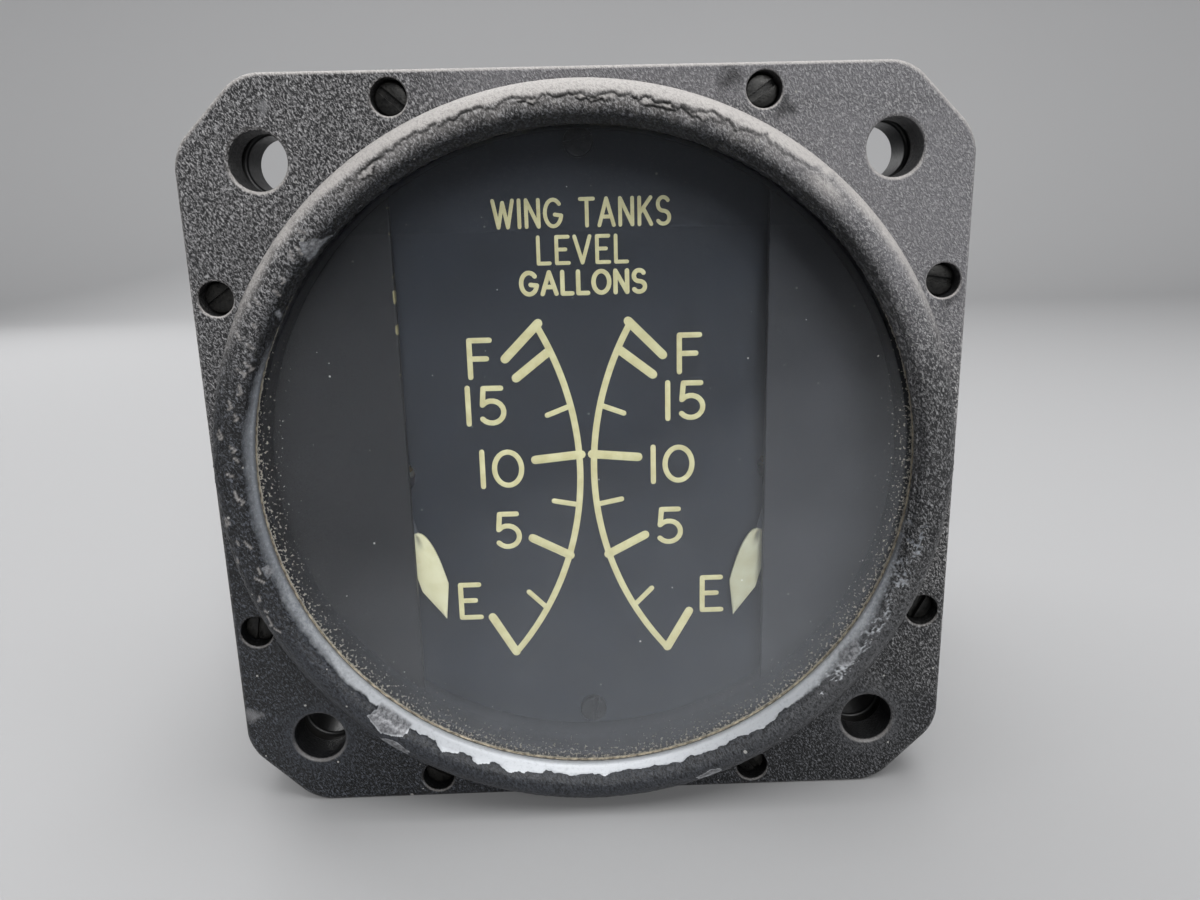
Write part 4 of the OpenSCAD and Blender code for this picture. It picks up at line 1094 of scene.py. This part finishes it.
# Angle above the level at the pivot, inner and outer reach from it, and pen, from full to empty
TICKS = [
    (45.3, 14.0, 18.1, THICK), (37.8, 13.55, 17.0, THICK), (20.8, 14.15, 16.3, THIN),
    (5.3, 12.1, 16.1, THICK), (-11.0, 13.8, 16.0, THIN), (-27.5, 13.0, 16.7, THICK),
    (-45.2, 15.6, 17.8, THIN), (-60.3, 15.4, 19.4, THICK),
]
LABELS = [
    ("F", (8.83, 7.72)), ("15", (8.51, 3.7)), ("10", (7.4, -1.9)), ("5", (7.12, -7.5)), ("E", (10.83, -14.08)),
]
LABEL_H = 3.1
LABEL_PEN = 0.45


def scale_strokes(side):
    top, end = (math.degrees(math.asin((z - PIVOT_Z) / ARC_R)) for z in (ARC_TOP_Z, ARC_END_Z))
    edge = arc((0, PIVOT_Z), ARC_R, top, end, ARC_STEPS)
    strokes = [([(side * (ARC_CENTRE_X - u), v) for u, v in edge], ARC_PEN)]
    for turn, inner, outer, pen in TICKS:
        along = (math.cos(math.radians(turn)), math.sin(math.radians(turn)))
        ends = [(side * (PIVOT_X - reach * along[0]), PIVOT_Z + reach * along[1]) for reach in (inner, outer)]
        strokes.append((ends, pen))
    for word, (x, z) in LABELS:
        strokes += word_strokes(word, (side * x, z), LABEL_H, LABEL_PEN)
    return strokes


scale_print = scale_strokes(-1) + scale_strokes(1)
print(len(scale_print), "scale strokes")

# %% Print the dial
INK_MM = 0.035
FINEST_PEN = 0.004
SAME_PLACE = 1e-6
dial_front = cad_mm("dial_plate")[0].y
# Along the round tip of a stroke: the share of half a pen's width, and how wide the pen is there
CAP_SHARES = ((0.0, 0.0), (0.13, 0.5), (0.5, 0.866), (1.0, 1.0))
# Word, place of its middle, height, pen and width
TITLE = [
    ("WING TANKS", (0.1, 19.45), 2.1, 0.31, 14.4),
    ("LEVEL", (0.1, 16.5), 2.1, 0.31, 7.4),
    ("GALLONS", (0.1, 13.85), 1.75, 0.37, 10.3),
]


def shown_mesh(holder):
    """The mesh that an object shows, with its bevel or modifiers."""
    return bpy.data.meshes.new_from_object(holder.evaluated_get(bpy.context.evaluated_depsgraph_get()))


def is_closed(path):
    return (Vector(path[0]) - Vector(path[-1])).length < SAME_PLACE


def rounded_pen(path, pen):
    """A path's points with radii that swell from nothing at both ends, which gives the stroke round tips."""
    if is_closed(path):
        return [(p, pen) for p in path[:-1]]
    first, last = Vector(path[0]), Vector(path[-1])
    start = (Vector(path[1]) - first).normalized()
    end = (Vector(path[-2]) - last).normalized()
    head = [(first - start * pen / 2 * (1 - share), pen * swell) for share, swell in CAP_SHARES]
    tail = [(last - end * pen / 2 * (1 - share), pen * swell) for share, swell in reversed(CAP_SHARES)]
    return head + [(Vector(p), pen) for p in path[1:-1]] + tail


def ink(name, strokes):
    curve = bpy.data.curves.new(name, "CURVE")
    curve.dimensions = "3D"
    curve.bevel_depth = 0.5
    curve.bevel_resolution = 2
    for path, pen in strokes:
        points = rounded_pen(path, pen)
        spline = curve.splines.new("POLY")
        spline.use_smooth = True
        spline.use_cyclic_u = is_closed(path)
        spline.points.add(len(points) - 1)
        for target, (place, radius) in zip(spline.points, points):
            target.co = (place[0], 0, place[1], 1)
            target.radius = max(radius, FINEST_PEN)
    holder = bpy.data.objects.new(name + "_pen", curve)
    bpy.context.collection.objects.link(holder)
    bm = bmesh.new()
    bm.from_mesh(shown_mesh(holder))
    bpy.data.objects.remove(holder)
    bmesh.ops.scale(bm, vec=(1, 2 * INK_MM / THICK, 1), verts=bm.verts)
    bmesh.ops.translate(bm, vec=(0, dial_front, 0), verts=bm.verts)
    finish_piece(bm, name, "pointer_cream", finish=print_cream, sharp=80)


ink("dial_scales", scale_print)
ink("dial_title", [stroke for line in TITLE for stroke in word_strokes(*line)])

# %% [markdown]
# ## Pointers
# Each pointer is pressed from thin sheet: a leaf with a pointed end, a narrow dark stem and a tail that meets
# the stops. A grid is stretched over that outline, so the leaf can be crowned a little and creased where it
# joins the stem, then it is pulled to the sheet's thickness. An extruded outline would be flat and would
# catch no light along its middle. The left leaf is set a little nearer its pivot than the right one.

# %% Pointer shape
POINTER_LEN = 14.0
LEAF_LEN = 8.2
LEAF_HALF = 1.2
STEM_HALF = 0.25
TAIL_LEN = 4.6
TAIL_HALF = 0.5
CROWN = 0.1
CREASE = 0.14
leaf_root = POINTER_LEN - LEAF_LEN
leaf_round = POINTER_LEN - 0.57 * LEAF_LEN
leaf_widest = POINTER_LEN - 0.37 * LEAF_LEN


def pointer_half_width(along):
    if along < 0:
        return TAIL_HALF
    if along < leaf_root:
        return STEM_HALF
    if along < leaf_round:
        share = (leaf_round - along) / (leaf_round - leaf_root)
        return STEM_HALF + (LEAF_HALF - STEM_HALF) * math.sqrt(max(0.0, 1 - share * share))
    return LEAF_HALF * min(1.0, (POINTER_LEN - along) / (POINTER_LEN - leaf_widest))


def pointer_crease(along, across):
    """About 1 in the groove that runs on from the stem into the leaf."""
    groove = math.exp(-((across / 0.26) ** 2)) * smooth_step(leaf_root - 0.1, leaf_root + 0.3, along)
    return groove * (1 - smooth_step(leaf_root + 0.4, leaf_root + 1.7, along))


def pointer_lift(along, across):
    """How far the sheet stands forward of its edges."""
    crown = CROWN * (1 - across * across) * smooth_step(leaf_root - 1.0, leaf_root + 1.5, along)
    return crown - CREASE * pointer_crease(along, across)


print("leaf from", round(leaf_root, 2), "to", POINTER_LEN, "mm")

# %% Pointers
LEAF_PARTS = (124, 16)
HUB_R = 1.1
HUB_RIM = 0.1
HUB_STEPS = 40
REST_TURN = -74.3
LEFT_SLIDE = 0.5
pointer_low, pointer_high = cad_mm("left_pointer")
POINTER_FRONT = pointer_low.y + 0.06
POINTER_BACK = pointer_high.y - 0.02


def pointer(side, name, body, node, finish, slide):
    bm = bmesh.new()
    bare_and_crease_shade = bm.verts.layers.float.new("bare_and_crease_shade")
    bmesh.ops.create_grid(bm, x_segments=LEAF_PARTS[0], y_segments=LEAF_PARTS[1], size=0.5)
    for vert in bm.verts:
        along = -TAIL_LEN + (vert.co.x + 0.5) * (POINTER_LEN + TAIL_LEN)
        across = 2 * vert.co.y
        place = POINTER_FRONT - pointer_lift(along, across)
        vert.co = (along - slide, place, across * pointer_half_width(along))
        # The stem is bare, and the crease takes the same dark colour as a painted shade in the groove.
        vert[bare_and_crease_shade] = 1 - smooth_step(leaf_root - 0.2, leaf_root, along) + 0.6 * pointer_crease(along, across)
    pulled = bmesh.ops.extrude_face_region(bm, geom=bm.faces[:])["geom"]
    for vert in only(bmesh.types.BMVert, pulled):
        vert.co.y = POINTER_BACK
    hub = [(0, -POINTER_FRONT), (HUB_R - HUB_RIM, -POINTER_FRONT), (HUB_R, -POINTER_FRONT - HUB_RIM)]
    turned(bm, hub + [(HUB_R, -POINTER_BACK), (0, -POINTER_BACK)], HUB_STEPS, closed=False)
    to_rest = Matrix.Rotation(math.radians(-REST_TURN), 3, "Y")
    bmesh.ops.rotate(bm, cent=(0, 0, 0), matrix=to_rest, verts=bm.verts)
    if side > 0:
        bmesh.ops.scale(bm, vec=(-1, 1, 1), verts=bm.verts)
    bmesh.ops.translate(bm, vec=(side * PIVOT_X, 0, PIVOT_Z), verts=bm.verts)
    finish_piece(bm, name, "pointer_cream", node, body=body, finish=finish, sharp=50)


pointer(-1, "left_pointer_leaf", "left_needle", "left_pointer", pointer_cream, LEFT_SLIDE)
pointer(1, "right_pointer_leaf", "right_needle", "right_pointer", darker_cream, 0.0)

# %% [markdown]
# ## Slotted screws
# Eight small screws sit in counterbores round the ring, two hold the dial, and four pan heads hold the
# receptacle. A head is a turned form with a rounded rim. Its slot is sawn right across, so all the slots of
# a set are cut by one Boolean with long blades; extruding a strip down would leave walls at the slot's ends.

# %% Screw helpers
SLOT_W = 0.5
SLOT_DEPTH = 0.45
SCREW_STEPS = 36
RIM_POINTS = ((0.87, 0.5), (0.5, 0.87), (0.0, 1.0))


def carve(solid, cutter):
    """Cut one bmesh out of another and give the result as a new bmesh."""
    holders = []
    for source in (solid, cutter):
        bmesh.ops.remove_doubles(source, verts=source.verts, dist=MERGE_MM)
        bmesh.ops.recalc_face_normals(source, faces=source.faces)
        mesh = bpy.data.meshes.new("carving")
        source.to_mesh(mesh)
        source.free()
        holders.append(bpy.data.objects.new("carving", mesh))
        bpy.context.collection.objects.link(holders[-1])
    cut = holders[0].modifiers.new("saw", "BOOLEAN")
    cut.operation = "DIFFERENCE"
    cut.solver = "EXACT"
    cut.object = holders[1]
    result = bmesh.new()
    result.from_mesh(shown_mesh(holders[0]))
    for holder in holders:
        bpy.data.objects.remove(holder)
    return result


def screw_set(places, head_r, rim, top_h, under_h, shank_r, end_h, slots):
    """Slotted screws at (x, z); heights are forwards, so a rear screw has top_h below under_h."""
    heads, blades = bmesh.new(), bmesh.new()
    out = 1 if top_h > under_h else -1
    profile = [(0, end_h), (shank_r, end_h), (shank_r, under_h)]
    profile += [(head_r, under_h), (head_r, top_h - out * rim)]
    profile += [(head_r - rim * (1 - c), top_h - out * rim * (1 - s)) for c, s in RIM_POINTS] + [(0, top_h)]
    for (x, z), slot in zip(places, slots):
        turned(heads, profile, SCREW_STEPS, closed=False, centre=(x, z))
        blade = Matrix.Translation((x, -top_h, z)) @ Matrix.Rotation(math.radians(-slot), 4, "Y")
        blade = blade @ Matrix.Diagonal((3 * head_r, 2 * SLOT_DEPTH, SLOT_W, 1))
        bmesh.ops.create_cube(blades, size=1, matrix=blade)
    return carve(heads, blades)


print("slots are", SLOT_W, "by", SLOT_DEPTH, "mm")

# %% Bezel and dial screws
BEZEL_HEAD_R, BEZEL_HEAD_RIM, BEZEL_HEAD_T = 1.25, 0.16, 1.1
BEZEL_SHANK_R, DIAL_SHANK_R = 0.72, 0.5
DIAL_HEAD_RIM = 0.2
BEZEL_SLOTS = [62, 172, 35, 140, 35, 80, 150, 125]
DIAL_SLOTS = [12, 75]

low, high = cad_mm("bezel_screws")
heights = (-low.y, -low.y - BEZEL_HEAD_T, BEZEL_SHANK_R, -high.y)
bm = screw_set(screw_places, BEZEL_HEAD_R, BEZEL_HEAD_RIM, *heights, BEZEL_SLOTS)
finish_piece(bm, "bezel_screw_set", "screw_black", "bezel_screws")

low, high = cad_mm("dial_screws")
dial_head_r = high.x
dial_screw_z = high.z - dial_head_r
heights = (-low.y, -dial_front, DIAL_SHANK_R, -high.y)
bm = screw_set([(0, dial_screw_z), (0, -dial_screw_z)], dial_head_r, DIAL_HEAD_RIM, *heights, DIAL_SLOTS)
finish_piece(bm, "dial_screw_set", "screw_black", "dial_screws")

# %% [markdown]
# ## Case
# Behind the gasket stands the case: a flange like the bezel's and a drawn can with a rounded rear edge, open
# where the receptacle passes. The can is turned from its section and the flange reuses the plate helper.
# The walls of the flange's holes get a shade weight, because no light of the panel's front reaches them.

# %% Case
case_low, case_high = cad_mm("case")
CASE_WALL = 1.3
CASE_ROUND = 2.4
REAR_WALL = 1.6
NECK_HOLE_R = 10.5
CASE_FLANGE_T = 3.4
CASE_RIM = 0.25
CASE_OVERLAP = 0.6
CAN_STEPS = 220

front, rear = -case_low.y - 0.1, -case_high.y
can = [(CASE_R, front)] + arc((CASE_R - CASE_ROUND, rear + CASE_ROUND), CASE_ROUND, 0, -90, 12)
can += [(NECK_HOLE_R, rear), (NECK_HOLE_R, rear + REAR_WALL)]
can += [(CASE_R - CASE_WALL, rear + REAR_WALL), (CASE_R - CASE_WALL, front)]
bm = bmesh.new()
turned(bm, can, CAN_STEPS)
finish_piece(bm, "case_can", "case_paint", "case")

bm = bmesh.new()
holes = panel_holes + [(0, 0, CASE_R - CASE_OVERLAP)]
depths = (case_low.y, case_low.y + CASE_FLANGE_T)
flange_plate(bm, FLANGE_HALF, CORNER_LEG, CORNER_ROUND, holes, *depths, CASE_RIM)
shade_layer = bm.verts.layers.float.new("shade")
for vert in bm.verts:
    if in_hole(vert, panel_holes):
        vert[shade_layer] = 0.95 - 0.25 * smooth_step(-10, 10, vert.co.z)
finish_piece(bm, "case_flange", "case_paint", "case", weighted=True)

# %% [markdown]
# ## Receptacle
# The receptacle at the back is a square-flanged shell with a threaded barrel, a moulded insert and five pins.
# A real thread is a helix, so one pitch of its section is swept round with a small step back at each turn;
# rings would be quicker, but a thread made of rings never starts or ends. The barrel's core and mouth are
# turned, and the key inside it is a bar.

# %% Receptacle shell
shell_low, shell_high = cad_mm("connector_shell")
SOCKET_HALF = shell_high.x
SOCKET_ROUND = 2.5
SOCKET_FLANGE_T = 2.8
SOCKET_PITCH = 23.0
SOCKET_HOLE_R = 1.35
SOCKET_RIM = 0.3
BARREL_R = 11.1
BARREL_BORE = 9.0
BARREL_STEPS = 128
MOUTH_EDGE, BORE_EDGE, NECK_STEP = 0.5, 0.25, 0.2
THREAD_DEPTH = 0.62
socket_front = cad_mm("connector_gasket")[1].y
barrel_start = socket_front + SOCKET_FLANGE_T
mouth = shell_high.y
core_r = BARREL_R - THREAD_DEPTH
neck_r = core_r - NECK_STEP

bm = bmesh.new()
socket_places = corner_places(SOCKET_PITCH)
socket_holes = [(x, z, SOCKET_HOLE_R) for x, z in socket_places] + [(0, 0, BARREL_BORE + 0.4)]
flange_plate(bm, SOCKET_HALF, 0, SOCKET_ROUND, socket_holes, socket_front, barrel_start, SOCKET_RIM)
core = [(BARREL_BORE, -shell_low.y), (neck_r, -shell_low.y), (neck_r, -socket_front - NECK_STEP)]
core += [(core_r, -barrel_start + NECK_STEP), (core_r, -barrel_start), (core_r, -mouth + MOUTH_EDGE)]
core += [(core_r - MOUTH_EDGE, -mouth), (BARREL_BORE + BORE_EDGE, -mouth), (BARREL_BORE, -mouth + BORE_EDGE)]
turned(bm, core, BARREL_STEPS)
print("barrel from", round(barrel_start, 2), "to", round(mouth, 2), "mm")

# %% Thread and key
THREAD_PITCH = 1.27
THREAD_TURNS = 7
THREAD_STEPS = 64
THREAD_END = 0.9
KEY_START, KEY_SHORTER = 66.0, 1.2
KEY_W, KEY_H = 1.8, 1.3
thread_start = mouth - THREAD_END - THREAD_PITCH * (THREAD_TURNS + 1)
root_r, flat_r = core_r - 0.04, BARREL_R - 0.03
ridge = [(root_r, 0.0), (flat_r, 0.42), (BARREL_R, 0.5), (flat_r, 0.58), (root_r, 1.0)]

rim = [bm.verts.new((r, thread_start + h * THREAD_PITCH, 0)) for r, h in ridge]
edges = [bm.edges.new(pair) for pair in zip(rim, rim[1:])]
bmesh.ops.contextual_create(bm, geom=rim)
swept = bmesh.ops.spin(
    bm, geom=rim + edges, cent=(0, 0, 0), axis=(0, 1, 0), dvec=(0, THREAD_PITCH / THREAD_STEPS, 0),
    angle=TURN * THREAD_TURNS, steps=THREAD_STEPS * THREAD_TURNS,
)
bmesh.ops.contextual_create(bm, geom=only(bmesh.types.BMVert, swept["geom_last"]))
key = Matrix.Translation((0, (mouth + KEY_START) / 2, BARREL_BORE - 0.2))
key = key @ Matrix.Diagonal((KEY_W, mouth - KEY_START - KEY_SHORTER, KEY_H, 1))
bmesh.ops.create_cube(bm, size=1, matrix=key)
finish_piece(bm, "receptacle_shell", "olive_plate", "connector_shell", weighted=True)

# %% Insert, pins and screws of the receptacle
insert_low, insert_high = cad_mm("connector_insert")
PINS = 5
PIN_CIRCLE = 5.0
PIN_R = 0.8
SOLDER_R = 1.12
PIN_STEPS, INSERT_STEPS = 28, 96
INSERT_EDGE = 0.2
SOCKET_HEAD_RIM = 0.75
SOCKET_SHANK_R = 1.15
pin_turns = [math.radians(90 + 72 * (i + 0.5)) for i in range(PINS)]
pin_places = [(PIN_CIRCLE * math.cos(a), PIN_CIRCLE * math.sin(a)) for a in pin_turns]
insert_r, root, face = insert_high.x, -insert_low.y, -insert_high.y

bm = bmesh.new()
body = [(0, root), (insert_r, root)]
body += [(insert_r, face + INSERT_EDGE), (insert_r - INSERT_EDGE, face), (0, face)]
turned(bm, body, INSERT_STEPS, closed=False)
collar = [(PIN_R, face + 0.4), (PIN_R + 0.75, face + 0.4), (PIN_R + 0.7, face - 0.3)]
collar += [(PIN_R + 0.1, face - 0.45), (PIN_R, face - 0.45)]
for place in pin_places:
    turned(bm, collar, PIN_STEPS, centre=place)
finish_piece(bm, "insert_block", "insert_rubber", "connector_insert")

bm = bmesh.new()
low, high = cad_mm("connector_pins")
pin = [(0, -low.y), (SOLDER_R, -low.y), (SOLDER_R, root), (PIN_R, root), (PIN_R, -high.y + 0.75)]
pin += [(PIN_R * 0.87, -high.y + 0.35), (PIN_R * 0.5, -high.y + 0.08), (0, -high.y)]
for place in pin_places:
    turned(bm, pin, PIN_STEPS, closed=False, centre=place)
finish_piece(bm, "contact_pins", "contact_gold", "connector_pins")

low, high = cad_mm("connector_screws")
heights = (-high.y, -barrel_start, SOCKET_SHANK_R, -low.y)
slots = [x + 3 * z for x, z in socket_places]
bm = screw_set(socket_places, high.x - SOCKET_PITCH / 2, SOCKET_HEAD_RIM, *heights, slots)
finish_piece(bm, "socket_screw_set", "steel", "connector_screws")

# %% [markdown]
# ## Floor and light
# The gauge stands on its flange on a plain pale sweep, a line of points pulled sideways. The picture is lit
# from above: the shoulder of the ring is nearly white, the upper flange shows its grain at a grazing angle
# and the lower flange lies in the ring's shadow. A broad key lamp in front and a second one behind hang
# overhead, a third fills the back, a soft sun in front opens the dial, and a weak world fills the rest.

# %% Floor
FLOOR_Z = cad_box[0][2]
FLOOR_SIDE = 5.0
FLOOR_FRONT = 6.0
SWEEP_START = 0.45
SWEEP_ROUND = 0.25
SWEEP_TOP = 1.1
FLOOR_GREY = rgb(174, 174, 175)
sweep = [(-FLOOR_FRONT, FLOOR_Z), (SWEEP_START, FLOOR_Z)]
sweep += arc((SWEEP_START, FLOOR_Z + SWEEP_ROUND), SWEEP_ROUND, -90, 0, 16)[1:]
sweep += [(SWEEP_START + SWEEP_ROUND, FLOOR_Z + SWEEP_TOP)]
bm = bmesh.new()
line = [bm.verts.new((-FLOOR_SIDE, y, z)) for y, z in sweep]
edges = [bm.edges.new(pair) for pair in zip(line, line[1:])]
pulled = bmesh.ops.extrude_edge_only(bm, edges=edges)["geom"]
bmesh.ops.translate(bm, vec=(2 * FLOOR_SIDE, 0, 0), verts=only(bmesh.types.BMVert, pulled))
bmesh.ops.recalc_face_normals(bm, faces=bm.faces)
mesh = bpy.data.meshes.new("floor")
bm.to_mesh(mesh)
bm.free()
mesh.shade_smooth()
floor_paper = bpy.data.materials.new("floor_paper")
floor_paper.use_nodes = True
paper = floor_paper.node_tree.nodes["Principled BSDF"]
paper.inputs["Base Color"].default_value = FLOOR_GREY
paper.inputs["Roughness"].default_value = 0.9
paper.inputs["Specular IOR Level"].default_value = 0.0
mesh.materials.append(floor_paper)
floor = bpy.data.objects.new("floor", mesh)
bpy.context.collection.objects.link(floor)
print("floor at", round(FLOOR_Z / MM, 2), "mm")

# %% Lamps
# Name: place in metres, side of the square lamp in metres, watts
LAMPS = {
    "key": ((0.06, -0.13, 0.44), 0.4, 1.7),
    "top": ((0.0, 0.14, 0.44), 0.4, 0.9),
    "back_fill": ((-0.28, 0.36, 0.26), 0.3, 1.0),
}
FILL_FROM = (0.12, -0.5, 0.22)
FILL_LEVEL = 0.5
FILL_SOFTNESS = 28
WORLD_LEVEL = 0.2
WORLD_GREY = rgb(236, 238, 240)


def hang(light, place):
    """Put a light at a place, pointed at the gauge."""
    lamp = bpy.data.objects.new(light.name, light)
    lamp.location = place
    lamp.rotation_euler = (-Vector(place)).to_track_quat("-Z", "Y").to_euler()
    bpy.context.collection.objects.link(lamp)


for name, (place, side, watts) in LAMPS.items():
    light = bpy.data.lights.new(name, "AREA")
    light.size = side
    light.energy = watts
    hang(light, place)
fill = bpy.data.lights.new("front_fill", "SUN")
fill.energy = FILL_LEVEL * math.pi
fill.angle = math.radians(FILL_SOFTNESS)
hang(fill, FILL_FROM)
world = bpy.data.worlds.new("studio")
world.use_nodes = True
sky = world.node_tree.nodes["Background"]
sky.inputs["Color"].default_value = WORLD_GREY
sky.inputs["Strength"].default_value = WORLD_LEVEL
bpy.context.scene.world = world
print(len(LAMPS), "area lamps and a soft front fill")
